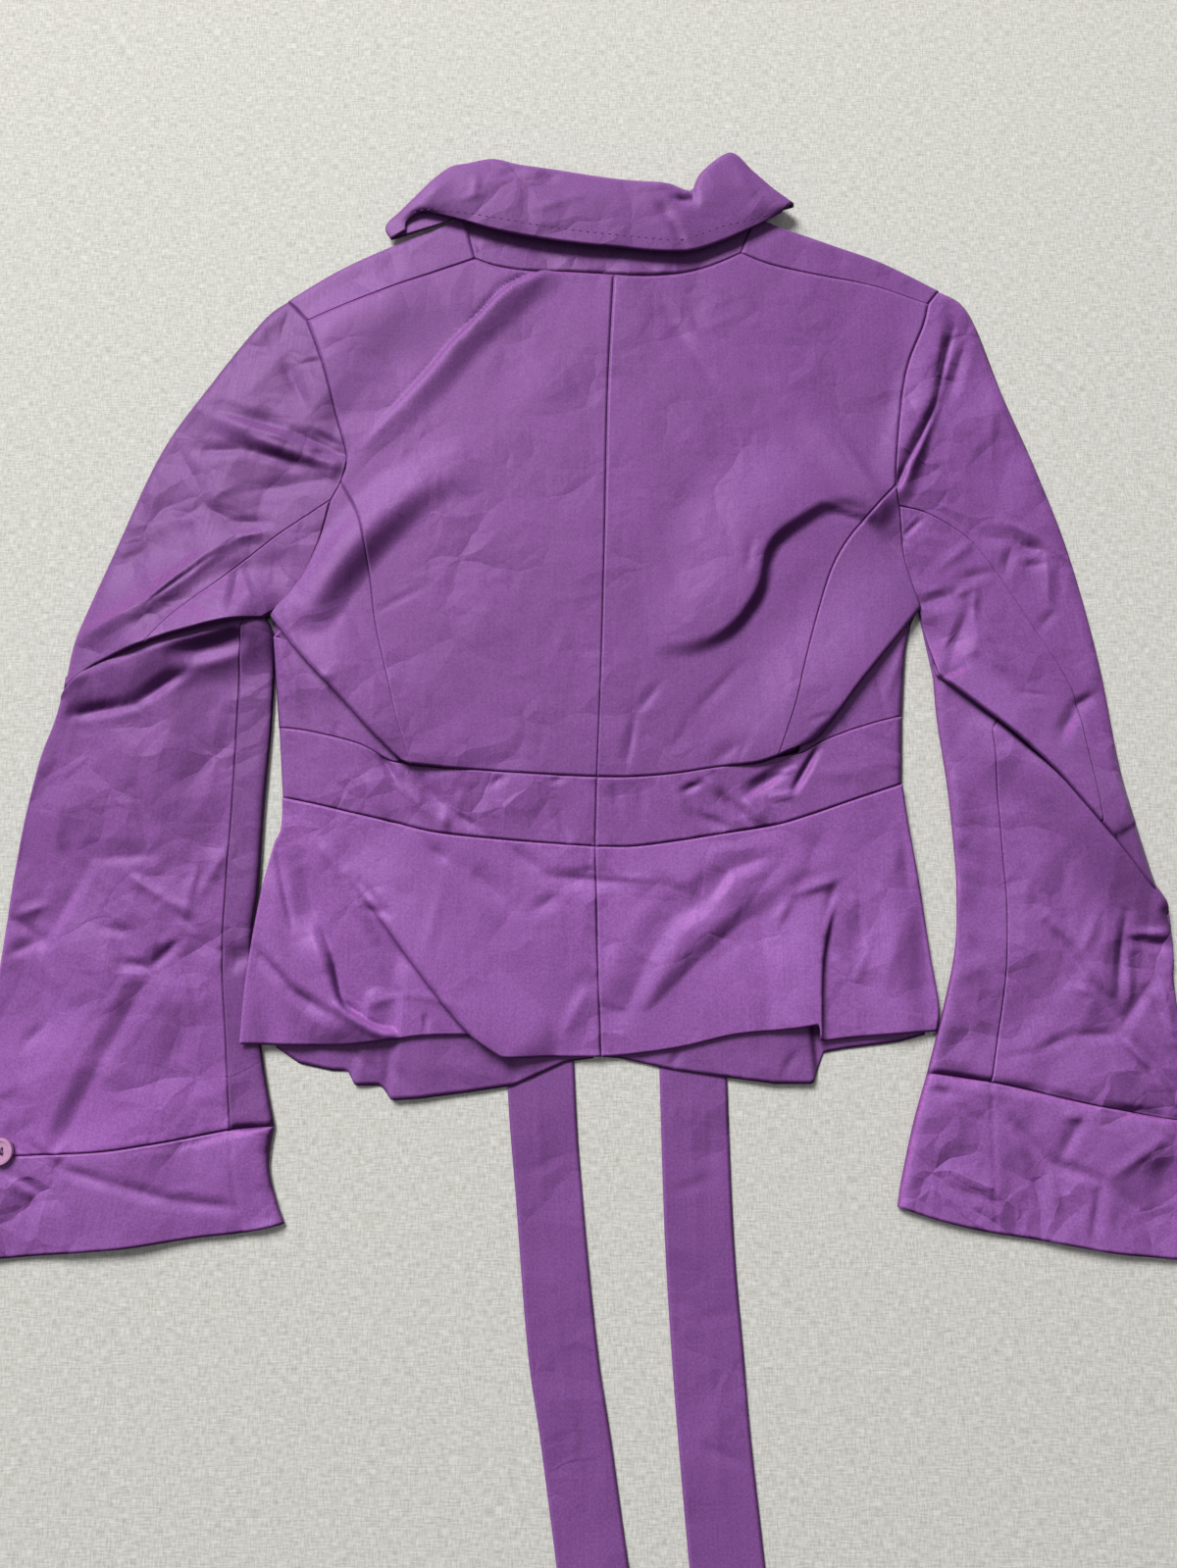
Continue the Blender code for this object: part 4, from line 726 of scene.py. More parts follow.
def turn_under(panel, plan, lowest=UPPER + LAYER):
    """Rows that carry the last row of a panel over its fold and back beneath it."""
    out = plan[-1] - plan[-TURN_FROM]
    out = out / np.maximum(np.linalg.norm(out, axis=-1, keepdims=True), TINY)
    rows = [panel]
    for ahead, down in TURN:
        row = panel[-1].copy()
        row[:, :2] += ahead * out
        row[:, 2] = np.maximum(row[:, 2] - down, lowest)
        rows.append(row[None])
    return np.concatenate(rows)


for side, cut in CUT.items():
    cap_edge, back_seam = smooth(cut["cap_edge"]), smooth(cut["back_seam"])
    arm_outer = chain(cut["arm_jog"][::-1], smooth(cut["arm_up"])[::-1], cut["arm_top"][::-1])
    elbow_outer, elbow_inner = smooth(cut["elbow_outer"]), smooth(cut["elbow_inner"])
    elbow = chain(elbow_outer[::-1], elbow_inner)
    plan = inset(fill(arm_outer, elbow_outer, back_seam, cap_edge, FINE_CELL), "tl")
    cap = press(plan, UPPER + elbow_rise(plan, elbow), ARM_FOLDS, ARM_CREASES, DENTED["arm"], "tl")
    cap = roll(cap, plan, cap_edge, EDGE, ARM_ROUND)
    cap[:, -1, 2] = EDGE
    edge_rows = len(cap) - 1
    cap_side = cap[:, -1].copy()
    cap = turn_under(cap, plan)
    arm_all = chain(cut["arm_top"], smooth(cut["arm_up"]), cut["arm_jog"], smooth(cut["arm_low"]))
    upper = fill(arm_all, elbow, cap_edge, cut["arm_pit"], HIDDEN_CELL, rows=edge_rows)
    forearm_edge, forearm_inner = smooth(cut["forearm_edge"]), smooth(cut["forearm_inner"])
    cuff_top = chain(smooth(cut["cuff_seam"]), cut["cuff_seam_inner"])
    lower = fill(elbow, cuff_top, np.vstack([elbow[:1], forearm_edge[1:]]), forearm_inner, COARSE_CELL,
                 cols=upper.shape[1] - 1)
    underside = press(np.concatenate([upper[:-1], lower]), LOW, dented=DENTED["underside"])
    underside[..., 2] = np.maximum(underside[..., 2], LOW)
    underside[:edge_rows + 1, 0] = cap_side
    inner_edge = lower[:, -1]
    inseam = smooth(cut["inseam"])
    start = inseam[0] + cut["elbow_turn"]
    seam = np.vstack([start, inseam])
    plan = inset(fill([inner_edge[0], start], cut["cuff_seam_inner"][::-1], inner_edge, seam, FINE_CELL,
                      rows=len(inner_edge) - 1), "br")
    inner = press(plan, UPPER + elbow_rise(plan, elbow), FOREARM_FOLDS, FOREARM_CREASES,
                  DENTED["forearm"], "br")
    inner = roll(inner, plan, inner_edge, EDGE, INNER_ROUND)
    inner[:, 0] = underside[edge_rows:, -1] = np.column_stack([inner_edge, np.full(len(inner_edge), EDGE)])
    cloth("top_sleeve_" + side, cap, underside, inner, flat=(0.28, 0.54), share=0.53, on=["floor"],
          grain=cut["grain"])

    plan = inset(fill(smooth(cut["arm_low"]), elbow_inner, back_seam, cut["arm_pit"], FINE_CELL), "tl")
    arm = press(plan, UPPER + elbow_rise(plan, elbow), ARM_FOLDS, ARM_CREASES, DENTED["arm"], "tl")
    arm = turn_under(arm, plan)
    tops = smooth(cut["forearm_top"])
    tops = tops + np.sqrt(np.linspace(0, 1, len(tops)))[:, None] * cut["elbow_turn"]
    plan = inset(fill(tops, smooth(cut["cuff_seam"]), np.vstack([tops[:1], forearm_edge]),
                      np.vstack([tops[-1:], inseam]), FINE_CELL), "br")
    forearm = press(plan, UPPER + elbow_rise(plan, elbow), FOREARM_FOLDS, FOREARM_CREASES,
                    DENTED["forearm"], "br")
    forearm = roll(forearm, plan, forearm_edge, EDGE + LAYER, FOREARM_ROUND)
    cloth("under_sleeve_" + side, arm, forearm, flat=(0.14, 0.42), share=0.6,
          on=["top_sleeve_%s_cloth" % side], grain=cut["grain"])

# Cuffs: deep flared cuffs, each a flattened ring sewn round the end of the sleeve. The forearm's folds and
# creases run on into them.
CUT["left"].update(
    cuff_edge=[(-346, -180), (-348, -236)],
    cuff_inner=[(-176, -164), (-178, -185), (-173, -204), (-168, -216)],
    cuff_hem=[(-348, -236), (-286, -231), (-251, -228), (-215, -223), (-188, -220), (-168, -216)],
    cuff_join=[(-200, -166), (-197, -190), (-190, -220)])
CUT["right"].update(
    cuff_edge=[(348, -163), (353, -237)],
    cuff_inner=[(191, -135), (182, -162), (174, -192), (171, -207)],
    cuff_hem=[(353, -237), (321, -234), (288, -231), (252, -225), (219, -220), (193, -214), (171, -207)],
    cuff_join=[(226, -140), (225, -180), (224, -221)])
CUFF_ROUND, CUFF_GROOVE = 6, 0.7
for side, cut in CUT.items():
    top = chain(smooth(cut["cuff_seam"]), cut["cuff_seam_inner"])
    edge, inner = cut["cuff_edge"], smooth(cut["cuff_inner"])
    plan = inset(fill(top, smooth(cut["cuff_hem"]), edge, inner, FINE_CELL), "t")
    upper = press(plan, UPPER, FOREARM_FOLDS, FOREARM_CREASES, DENTED["forearm"], "t")
    groove(upper, plan, cut["cuff_join"], CUFF_GROOVE)
    for line in (plan[:, 0], plan[:, -1]):
        upper = roll(upper, plan, line, EDGE, CUFF_ROUND)
    every = 2 if plan.shape[1] % 2 else 1  # every second column beneath, where that ends on the inner edge
    under = press(plan, LOW)[:, ::every]
    under[:, 0], under[:, -1] = upper[:, 0], upper[:, -1]
    cloth("cuff_" + side, upper, under, flat=(0.36, 0.07), share=0.9, on=["floor"], grain=cut["grain"])

# Backs: two centre back panels from neck and shoulders to the waist seam, joined at the centre back. They lie
# on the fronts, with a long drag fold from the neck on the left and a curved one on the right.
CUT["left"].update(
    neck=[(-72, 369), (-59, 364), (-41, 361), (-15, 360), (16, 358)],
    princess=[(-152, 218), (-143, 202), (-137, 185), (-132, 156), (-128, 128), (-120, 96), (-113, 69),
              (-104, 41)],
    waist_back=[(-104, 41), (-81, 39), (-50, 37), (-17, 35), (5, 34)],
    overhang=[(-191, 134), (-170, 108), (-149, 86), (-128, 63), (-108, 43)])
CUT["right"].update(
    neck=[(97, 373), (80, 365), (60, 359), (38, 357), (16, 358)],
    princess=[(187, 215), (177, 203), (160, 184), (148, 164), (138, 135), (129, 104), (122, 77), (111, 46)],
    waist_back=[(111, 46), (98, 42), (77, 40), (51, 36), (26, 34), (5, 34)],
    overhang=[(199, 138), (184, 120), (159, 90), (145, 71), (133, 57), (121, 51.5)])
CENTRE_BACK = smooth([(16, 358), (12, 278), (10, 188), (8, 113), (5, 34)])
for side, cut in CUT.items():
    top = chain(smooth(cut["shoulder"])[::-1], smooth(cut["neck"]))
    outer = chain(smooth(cut["arm_up"]), smooth(cut["princess"]))
    plan = inset(fill(top, smooth(cut["waist_back"]), outer, CENTRE_BACK, CELL), "tblr")
    back = press(plan, UPPER, BODY_FOLDS, BODY_CREASES, DENTED["body"], "tblr")
    cloth("back_" + side, back, flat=(0.2, 0.34), share=0.75, on=["front_%s_cloth" % side])

# Side backs: panels from the princess seam to the armhole that blouse out to a fold over the waist. The fold
# turns under, on the side front.
for side, cut in CUT.items():
    princess, overhang = smooth(cut["princess"]), smooth(cut["overhang"])
    arm = chain(cut["arm_jog"], smooth(cut["arm_low"]))
    plan = inset(fill(princess, overhang, arm, [princess[-1], overhang[-1]], CELL), "tl")
    bloused = turn_under(press(plan, UPPER, BODY_FOLDS, BODY_CREASES, DENTED["body"], "tl"), plan)
    cloth("side_back_" + side, bloused, flat=(0.08, 0.19), share=0.48, on=["side_front_%s_cloth" % side])

# Back waistband: two wide pieces between the waist seam and the peplum, puckered along both seams. Each runs
# out to the side edge, on the front waistband.
CUT["left"].update(
    waist_low=[(-179, 22), (-160, 18), (-139, 13), (-113, 7), (-88, 1), (-50, -3), (-11, -6), (4, -7)])
CUT["right"].update(
    waist_low=[(184, 30), (154, 20), (128, 11), (107, 5), (76, 0), (51, -4), (26, -7), (4, -7)])
BAND_MIDDLE = [(5, 34), (4, -7)]
BAND_CREASES = [
    (-104, 37, -83, 14, -3.0, 9, 7), (-83, 14, -84, 3, 1.7, 5, 6), (-78, 12, -64, 4, -1.7, 5, 5),
    (-57, 29, -50, 35, -1.7, 3, 4), (-22, 31, -14, 34, -1.3, 3, 3), (-134, 38, -116, 8, 1.7, 9, 6),
    (-123, 49, -113, 32, -4.2, 4, 4), (-18, 14, -12, -2, -1.1, 4, 4), (-107, 25, -93, 12, 1.3, 6, 6),
    (-73, 29, -76, 15, 0.8, 5, 5), (68, 35, 79, 22, 1.7, 4, 5), (78, 24, 96, 5, -3.0, 6, 5),
    (91, 23, 118, 40, -4.2, 7, 5), (91, 23, 104, 5, 2.3, 3, 6), (54, 25, 67, 31, -1.9, 4, 4),
    (104, 22, 122, 24, 2.1, 3, 3), (120, 26, 134, 50, -4.6, 3, 4), (61, 12, 82, 4, -1.7, 5, 5),
    (49, 31, 57, 12, 1.1, 5, 5), (14, 31, 18, 14, -0.8, 5, 5), (108, 36, 122, 39, 1.5, 3, 3),
    (135, 36, 162, 37, 0.8, 8, 8), (30, 31, 32, 12, -0.6, 5, 5),
]
BAND_ROUND, WAIST_PUCKER = 5, 0.06
for side, cut in CUT.items():
    side_waist, tucked_waist = smooth(cut["waist_side"])[::-1], smooth(cut["waist_return"])[::-1]
    top = np.vstack([side_waist, tucked_waist, smooth(cut["waist_back"])])
    low = smooth(cut["waist_low"])
    plan = inset(fill(top, low, [top[0], low[0]], BAND_MIDDLE, FINE_CELL), "tblr")
    band = press(plan, UPPER, (), BAND_CREASES, DENTED["band"], "tbr", WAIST_PUCKER)
    band = roll(band, plan, plan[:, 0], LOW + LAYER, BAND_ROUND)
    cloth("waistband_back_" + side, band, flat=(0.2, 0.045), share=0.85,
          on=["waistband_front_%s_cloth" % side])

# Back peplum: the flared skirt's back half on top, two pieces with deep folds and a plain hem. Its left
# corner lies on the sleeve.
CUT["left"].update(
    peplum_side=[(-179, 22), (-179, 4), (-183, -7), (-188, -32), (-194, -77), (-196, -119)],
    hem=[(-196, -119), (-145, -120), (-122, -119), (-99, -115), (-81, -114), (-64, -115), (-47, -125)],
    hem_middle=[(-47, -125), (-24, -126), (7, -126)])
CUT["right"].update(
    peplum_side=[(184, 30), (186, 10), (192, -35), (196, -72), (199, -99), (197, -112)],
    hem=[(197, -112), (168, -114), (145, -116), (130, -117), (126, -108)],
    hem_middle=[(126, -108), (110, -111), (82, -114), (51, -121), (23, -125), (7, -126)])
PEPLUM_FREE = 30  # how far below the seam the skirt lies free on what is beneath
PEPLUM_MIDDLE = smooth([(4, -7), (5, -56), (7, -126)])
PEPLUM_FOLDS = [
    ([(-142, -18, 0), (-118, -46, 4), (-94, -77, 7), (-66, -110, 8), (-47, -125, 7)], 45, 5, 2.0),
    ([(140, -36, 0), (133, -60, 4), (129, -80, 6), (127, -116, 7)], 5, 44, -3.0),
    ([(-182, -20, 0), (-175, -70, 3), (-168, -118, 3)], 20, 16, 0),
    ([(170, -10, 0), (174, -60, 3), (178, -110, 3)], 18, 22, 0),
    ([(-188, -36, 1.5), (-196, -119, 3.4)], 24, 24, 0),
    ([(-158, -44, 0), (-150, -71, 4), (-143, -97, 6.5), (-131, -107, 6.5), (-116, -114, 4)], 5, 26, -2.0),
    ([(143, -9, 0), (110, -24, 2.4), (69, -53, 3.6), (34, -88, 2.6), (25, -105, 0)], 16, 56, 0),
    ([(-142, -98, 1), (-118, -112, 2.4), (-92, -114, 1.5)], 4, 6, 0),
]
PEPLUM_CREASES = [
    (-134, -24, -114, -46, -1.3, 4, 6), (-158, -57, -150, -82, 2.6, 5, 17),
    (-189, -66, -169, -88, -2.4, 5, 7), (-169, -88, -143, -106, -2.7, 5, 7),
    (-181, -69, -161, -92, 1.3, 7, 5), (-182, -7, -170, -55, -1.9, 4, 2),
    (-155, -50, -148, -71, -3.5, 4, 4), (-148, -71, -141, -96, -4.2, 4, 4),
    (-141, -96, -129, -106, -4.2, 4, 4), (-129, -106, -115, -113, -3.2, 4, 4),
    (-130, -99, -104, -91, 0.6, 4, 5), (-104, -91, -69, -97, 0.6, 4, 5), (-92, -101, -91, -113, -1.6, 2, 2),
    (-168, -16, -154, -57, -2.9, 11, 11), (-157, -4, -143, -23, 1.4, 6, 6),
    (-143, -23, -123, -59, 1.8, 6, 6), (-130, -57, -116, -82, 0.6, 6, 5), (-84, -27, -92, -73, 0.6, 6, 7),
    (-92, -7, -81, -16, -1.3, 8, 8), (-69, -20, -45, -40, -1.9, 13, 11), (-45, -8, -26, -22, -1.4, 7, 7),
    (-27, -24, 23, -28, -1.8, 7, 8), (-16, -33, -32, -45, -1.3, 8, 8), (4, -79, -15, -115, 1.3, 11, 6),
    (-22, -112, -17, -123, -0.4, 4, 4), (-165, -110, -162, -115, 0.3, 3, 3),
    (-152, -115, -149, -113, 0.3, 3, 3), (-128, -43, -114, -45, -1.3, 5, 5), (-6, -21, 5, -20, -0.6, 3, 3),
    (6, -24, 41, -26, 0.5, 4, 4), (41, -28, 60, -36, -1.1, 7, 7), (103, -13, 81, -21, -2.6, 8, 11),
    (81, -21, 69, -38, -3.8, 6, 14), (70, -36, 46, -49, -3.8, 11, 16), (49, -47, 33, -72, -4.2, 12, 18),
    (35, -70, 21, -101, -2.9, 11, 17), (108, -51, 117, -35, 1.4, 7, 5), (117, -35, 144, -26, 1.8, 7, 5),
    (143, -29, 135, -48, -1.4, 4, 5), (151, -30, 161, -60, 1.8, 5, 8), (161, -60, 153, -82, 1.4, 5, 8),
    (155, -36, 158, -67, -2.2, 5, 10), (132, -56, 142, -73, -2.2, 7, 8), (119, -6, 80, -56, -1.4, 13, 13),
    (136, 1, 126, -21, -1.1, 12, 12), (183, -2, 185, -36, -1.4, 7, 8), (179, -50, 166, -90, 0.6, 7, 7),
    (191, -28, 194, -85, -1.6, 10, 10), (92, -79, 101, -89, -0.3, 3, 3), (109, -111, 116, -117, -1.9, 5, 5),
    (116, -117, 127, -112, 1.4, 5, 5), (8, -79, -4, -91, -1.3, 11, 11), (67, -76, 92, -58, -0.5, 8, 8),
]
for side, cut in CUT.items():
    hem = chain(smooth(cut["hem"]), smooth(cut["hem_middle"]))
    waist = smooth(cut["waist_low"])
    plan = inset(fill(waist, hem, smooth(cut["peplum_side"]), PEPLUM_MIDDLE, FINE_CELL), "tr")
    skirt = press(plan, UPPER, PEPLUM_FOLDS)
    over = np.maximum(front_peplum_height(plan, cut) + 2 * LAYER - skirt[..., 2], 0)
    over *= np.clip(nearest(plan, waist)[0] / PEPLUM_FREE, 0, 1)
    skirt = press(plan, UPPER + over, PEPLUM_FOLDS, PEPLUM_CREASES, DENTED["peplum"], "tr", WAIST_PUCKER)
    cloth("peplum_back_" + side, skirt, flat=(0.2, 0.16), share=0.78, on=["peplum_front_%s_cloth" % side])

# Collar: the shawl collar's back run. A stand sewn into the neck runs up beneath a wide fall that is turned
# down over it, with a dent near its right end.
COLLAR_LOWER = smooth([
    (-116, 386), (-116, 392), (-111, 396), (-103, 398), (-80, 392), (-59, 385), (-33, 379.5), (-6, 375.5),
    (17, 373), (38, 370.5), (61, 370), (73, 372.5), (87, 378), (108, 389), (122, 397)])
COLLAR_FOLD = smooth([
    (-125, 381), (-129, 388), (-127, 394), (-121, 400), (-112, 409), (-91, 429), (-77, 433), (-61, 436),
    (-44, 432), (-24, 429), (17, 422), (49, 419), (65, 414), (72, 427), (91, 441), (106, 427), (118, 415),
    (131, 404)])
UNDER_COLLAR = smooth([(-80, 398), (-66, 400), (-40, 399), (17, 394), (70, 392), (95, 398), (107, 398)])
FALL_EDGE_Z, FALL_TOP_Z, FALL_END_Z, STAND_Z, STAND_SINK = 10.5, 13.0, 6.8, 6.2, 2.8
FALL_ENDS = (-130, -98)  # where the fall comes down on the shoulder
FALL_ROWS, FALL_ARC, FALL_ROUND = 24, math.radians(135), 3.5
COLLAR_CREASES = [
    (-59, 420, -44, 425, -0.8, 5, 4), (-71, 421, -73, 407, 0.7, 4, 4), (-82, 405, -65, 410, 0.5, 4, 4),
    (44, 403, 52, 391, -1.3, 5, 5), (52, 391, 61, 375, -1.7, 4, 5), (-33, 399, -15, 404, 0.5, 4, 4),
    (-13, 406, -2, 408, 0.4, 4, 4), (55, 406, 68, 404, -3.0, 4, 5), (68, 404, 65, 414, -2.6, 4, 4),
    (-28, 419, -20, 421, -0.7, 4, 4), (25, 413, 53, 416, 0.6, 5, 5), (92, 431, 108, 401, 0.6, 8, 8),
    (-107, 403, -88, 418, 0.5, 7, 7),
]
neck = chain(smooth(CUT["left"]["neck"]), smooth(CUT["right"]["neck"])[::-1])
plan = inset(fill(neck, UNDER_COLLAR, [neck[0], UNDER_COLLAR[0]], [neck[-1], UNDER_COLLAR[-1]], CELL), "t")
up = np.linspace(0, 1, len(plan))[:, None]
stand = press(plan, UPPER - STAND_SINK * up, (), (), DENTED["stand"], "t")
cloth("collar_stand", stand, flat=(0.215, 0.04), share=0.78, on=["back_left_cloth", "back_right_cloth"])
plan = fill(COLLAR_LOWER, COLLAR_FOLD, [COLLAR_LOWER[0], COLLAR_FOLD[0]], [COLLAR_LOWER[-1], COLLAR_FOLD[-1]],
            CELL, rows=FALL_ROWS, bend=1)
up = np.linspace(0, 1, len(plan))[:, None]
arch = FALL_EDGE_Z + (FALL_TOP_Z - FALL_EDGE_Z) * np.sin(FALL_ARC * up)
arch = FALL_END_Z + (arch - FALL_END_Z) * ease(np.interp(plan[..., 0], FALL_ENDS, (0, 1)))
fall = press(plan, arch, (), COLLAR_CREASES, DENTED["collar"])
fall = roll(fall, plan, COLLAR_FOLD, (FALL_END_Z + STAND_Z) / 2, FALL_ROUND)
plan = fill(plan[-1], UNDER_COLLAR, [plan[-1, 0], UNDER_COLLAR[0]], [plan[-1, -1], UNDER_COLLAR[-1]],
            COARSE_CELL, cols=plan.shape[1] - 1, bend=1)
beneath = press(plan, STAND_Z)
beneath[0] = fall[-1]
cloth("collar", fall, beneath, flat=(0.27, 0.076), share=0.95, on=["collar_stand_cloth"], grain=90)

# Collar stitching: a row of short hand-run stitches along the fall's lower edge, in matching thread. All are
# copies of one small rounded bar, joined in one piece.
STITCH_STEP, STITCH_LONG, STITCH_THICK, STITCH_FLAT = 4.6, 2.2, 0.42, 0.8
STITCH_ROW, STITCH_FROM, STITCH_TO = 4, 8, -6  # the fall's row that it follows, and where it starts and ends
TWISTS_PER_M = 2200
thread_silk, tree, shader = material("matching_silk_thread")
twist = noise(tree, TWISTS_PER_M, 2, add(tree, "TexCoord").outputs["Object"])
tree.links.new(blended(tree, twist, "#4B2257", "#6F3A7E"), shader.inputs["Base Color"])
shader.inputs["Roughness"].default_value = 0.6
row = fall[STITCH_ROW, STITCH_FROM:STITCH_TO]
row = even(row, steps(STITCH_STEP, row))
bpy.ops.object.select_all(action="DESELECT")
bpy.ops.mesh.primitive_uv_sphere_add(segments=8, ring_count=6, radius=STITCH_THICK * MM)
one = bpy.context.object
one.data.transform(Matrix.Diagonal((STITCH_LONG / 2 / STITCH_THICK, 1, STITCH_FLAT, 1)))
shape = np.array([v.co[:] for v in one.data.vertices]) / MM
rounds = [tuple(p.vertices) for p in one.data.polygons]
bpy.data.objects.remove(one)
verts, faces = [], []
for a, b in zip(row, row[1:]):
    way = (b - a) / np.linalg.norm(b - a)
    across = np.array((-way[1], way[0], 0))
    middle = (a + b) / 2 + (0, 0, WALL / 2)
    faces += [tuple(i + len(verts) for i in face) for face in rounds]
    verts += list(middle + shape[:, :1] * way + shape[:, 1:2] * across + shape[:, 2:] * (0, 0, 1))
mesh = bpy.data.meshes.new("collar_stitches")
mesh.from_pydata(np.array(verts) * MM, [], faces)
mesh.shade_smooth()
mesh.materials.append(thread_silk)
stitches = bpy.data.objects.new("collar_stitches", mesh)
bpy.context.collection.objects.link(stitches)
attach(stitches, "root")

# Cuff buttons: small polished resin buttons with a raised rim and four holes, sewn on the cuff seam with
# thread through the holes.
BUTTON_RADIUS, BUTTON_THICK, BUTTON_BEVEL = 7.3, 2.6, 0.35
BUTTON_RIM, BUTTON_SLOPE, BUTTON_DISH = 1.7, 0.5, 0.7  # widths of rim and slope, and how deep the dish is
HOLE_RADIUS, HOLE_OFFSET, DRILL_LONG, THREAD_RADIUS = 0.8, 1.5, 7.8, 0.42
SHARP_FROM = math.radians(40)
CLOUDS_PER_M, POLISH = 260, (0.18, 0.3)
HOLES = (-HOLE_OFFSET * MM, HOLE_OFFSET * MM)
resin, tree, shader = material("mauve_resin")
cloud = noise(tree, CLOUDS_PER_M, 3, add(tree, "TexCoord").outputs["Object"])
tree.links.new(blended(tree, cloud, "#B87AA6", "#D8A6CA"), shader.inputs["Base Color"])
tree.links.new(spread(tree, cloud, POLISH, (0, 1)), shader.inputs["Roughness"])
shader.inputs["Coat Weight"].default_value = 0.5
shader.inputs["Subsurface Weight"].default_value = 0.1
for side in CUT:
    low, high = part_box("button_" + side)
    x, y, seat = (low[0] + high[0]) / 2, (low[1] + high[1]) / 2, low[2]
    bpy.ops.object.select_all(action="DESELECT")
    bpy.ops.mesh.primitive_cylinder_add(vertices=64, radius=BUTTON_RADIUS * MM, depth=BUTTON_THICK * MM,
                                        location=(x, y, seat + BUTTON_THICK * MM / 2))
    button = bpy.context.object
    button.name = "button_%s_resin" % side
    bpy.ops.object.transform_apply(location=True)
    top = max(button.data.polygons, key=lambda face: face.center.z).index
    bpy.ops.object.mode_set(mode="EDIT")
    bpy.ops.mesh.select_mode(type="FACE")
    bpy.ops.mesh.select_all(action="DESELECT")
    bpy.ops.object.mode_set(mode="OBJECT")
    button.data.polygons[top].select = True
    bpy.ops.object.mode_set(mode="EDIT")
    bpy.ops.mesh.inset(thickness=BUTTON_RIM * MM)
    bpy.ops.mesh.inset(thickness=BUTTON_SLOPE * MM, depth=-BUTTON_DISH * MM)
    bpy.ops.object.mode_set(mode="OBJECT")
    for hx, hy in [(hx, hy) for hx in HOLES for hy in HOLES]:
        bpy.ops.mesh.primitive_cylinder_add(vertices=24, radius=HOLE_RADIUS * MM, depth=DRILL_LONG * MM,
                                            location=(x + hx, y + hy, seat))
        drill = bpy.context.object
        hole = button.modifiers.new("hole", "BOOLEAN")
        hole.object = drill
        bpy.context.view_layer.objects.active = button
        bpy.ops.object.modifier_apply(modifier=hole.name)
        bpy.data.objects.remove(drill)
    edge = button.modifiers.new("edge", "BEVEL")
    edge.width, edge.segments, edge.limit_method = BUTTON_BEVEL * MM, 3, "ANGLE"
    bpy.ops.object.modifier_apply(modifier=edge.name)
    button.data.shade_smooth()
    button.data.set_sharp_from_angle(angle=SHARP_FROM)
    button.data.materials.append(resin)
    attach(button, "root")
    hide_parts("button_" + side)
    bars = []
    for hx in HOLES:
        bpy.ops.object.select_all(action="DESELECT")
        bpy.ops.mesh.primitive_torus_add(
            major_segments=24, minor_segments=8,
            major_radius=HOLE_OFFSET * MM, minor_radius=THREAD_RADIUS * MM,
            location=(x + hx, y, seat + (BUTTON_THICK - BUTTON_DISH) * MM), rotation=(0, math.pi / 2, 0))
        bars.append(bpy.context.object)
    for bar in bars:
        bar.select_set(True)
    bpy.ops.object.join()
    bpy.ops.object.transform_apply(location=True, rotation=True)
    sewing = bpy.context.object
    sewing.name = "button_%s_thread" % side
    sewing.data.shade_smooth()
    sewing.data.materials.append(thread_silk)
    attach(sewing, "root")

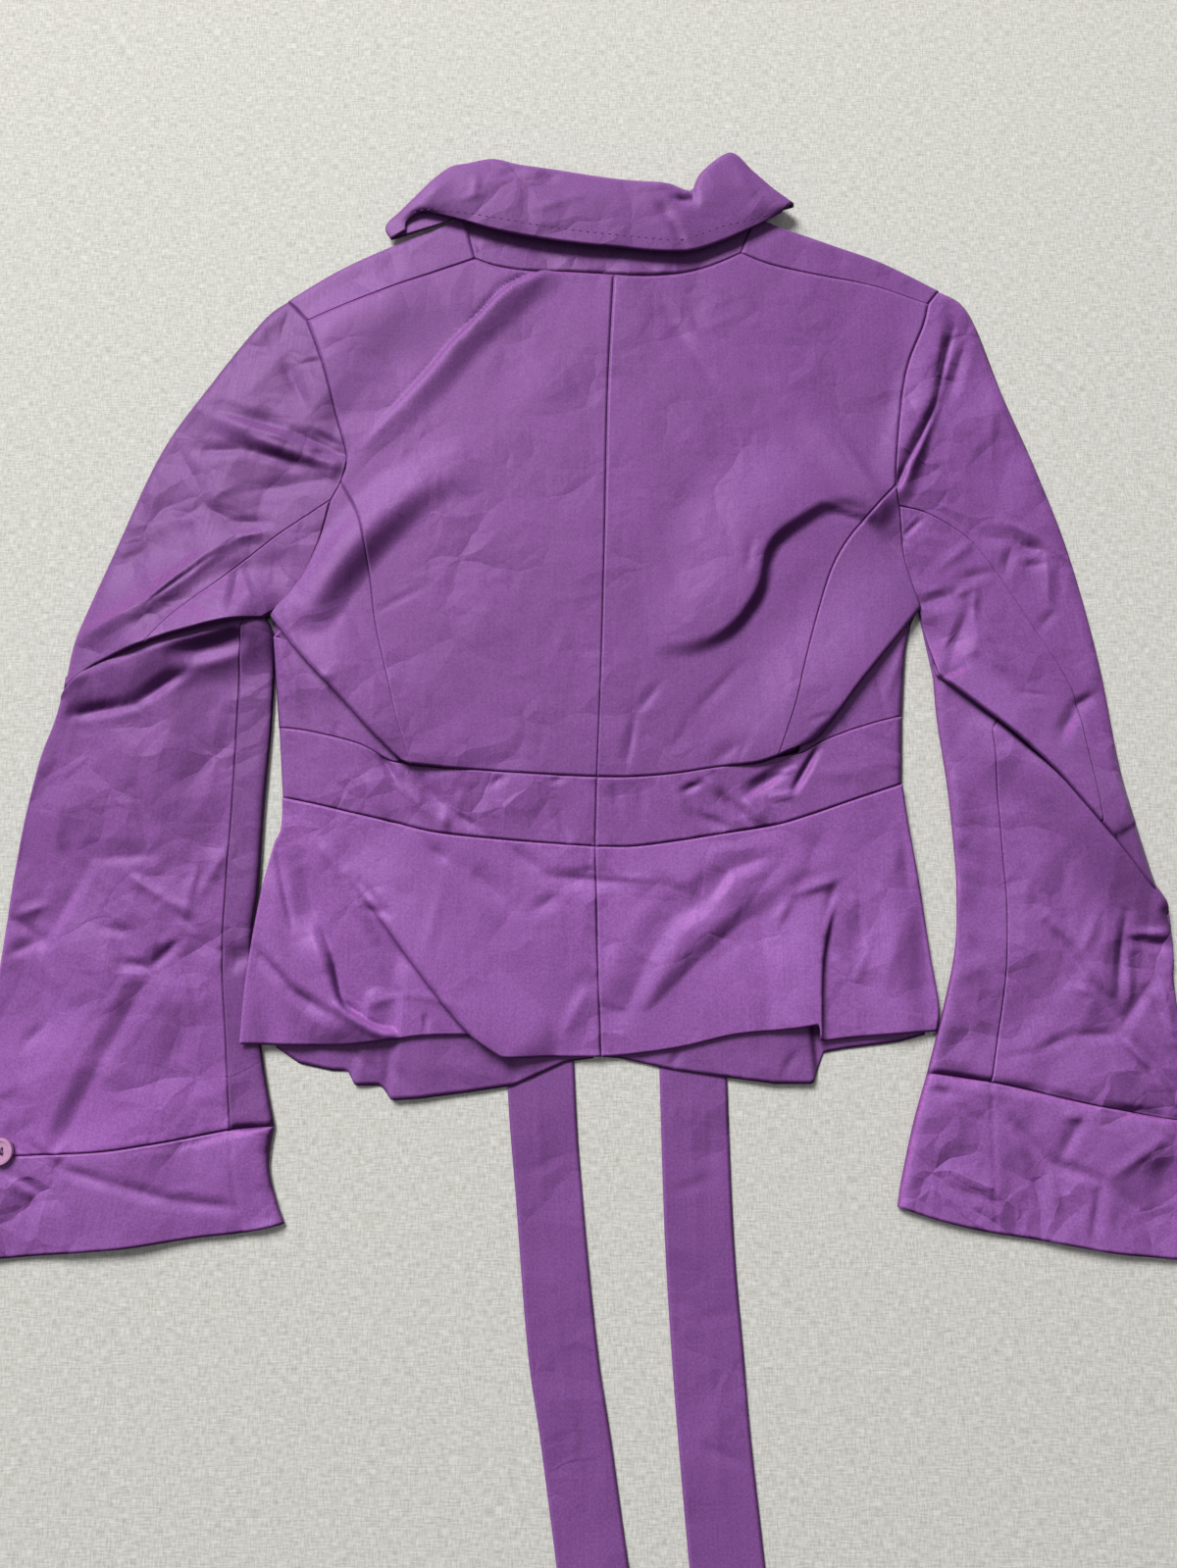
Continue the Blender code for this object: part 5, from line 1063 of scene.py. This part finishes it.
# Surroundings: a pale linen-covered table, one broad soft light from the upper left, and the camera at the
# picture's angle, tilted ten degrees from straight down.
TABLE_M, YARNS_ALONG, YARNS_ACROSS, TOOTH_MM = 4, (160, 1100, 1), (1100, 200, 1), 0.3
LIGHTS = [  # name, place and size in metres, power
    ("window", (-1.9, 3.2, 4.0), 2.4, 348),
    ("fill", (0.9, -0.4, 1.9), 1.6, 3),
]
ROOM_COLOUR, ROOM_STRENGTH = "#EEF0F2", 0.2
TILT, CAMERA_AT, SENSOR, PICTURE = math.radians(10), (0, -0.0898, 0.6835), 36, (1200, 1599)
linen, tree, shader = material("pale_linen")
lie = add(tree, "TexCoord").outputs["Object"]
yarns = [noise(tree, 1, 3, add(tree, "Mapping", {"Scale": scale}, Vector=lie).outputs[0])
         for scale in (YARNS_ALONG, YARNS_ACROSS)]
woven = add(tree, "Math", {"operation": "ADD"}, s0=yarns[0], s1=yarns[1]).outputs[0]
pale = blended(tree, spread(tree, woven, (0, 1), (0.7, 1.3)), "#B5B4AD", "#E2E0DA")
tree.links.new(pale, shader.inputs["Base Color"])
tooth = add(tree, "Bump", {"Strength": 0.3, "Distance": TOOTH_MM * MM}, Height=woven)
tree.links.new(tooth.outputs[0], shader.inputs["Normal"])
shader.inputs["Roughness"].default_value = 0.9
shader.inputs["Specular IOR Level"].default_value = 0.1
bpy.ops.object.select_all(action="DESELECT")
bpy.ops.mesh.primitive_plane_add(size=TABLE_M)
floor = bpy.context.object
floor.name = "floor"
floor.data.materials.append(linen)
for name, at, size, power in LIGHTS:
    lamp = bpy.data.lights.new(name, "AREA")
    lamp.size, lamp.energy = size, power
    light = bpy.data.objects.new(name, lamp)
    light.location = at
    light.rotation_euler = (-light.location).to_track_quat("-Z", "Y").to_euler()
    bpy.context.collection.objects.link(light)
world = bpy.data.worlds.new("soft_room")
world.use_nodes = True
world.node_tree.nodes["Background"].inputs["Color"].default_value = linear(ROOM_COLOUR)
world.node_tree.nodes["Background"].inputs["Strength"].default_value = ROOM_STRENGTH
bpy.context.scene.world = world
bpy.context.scene.view_settings.view_transform = "Standard"
lens = bpy.data.cameras.new("camera")
lens.lens, lens.sensor_width, lens.clip_start = SENSOR * PICTURE[0] / PICTURE[1], SENSOR, 0.01
camera = bpy.data.objects.new("camera", lens)
camera.location, camera.rotation_euler = CAMERA_AT, (TILT, 0, 0)
bpy.context.collection.objects.link(camera)
bpy.context.scene.camera = camera
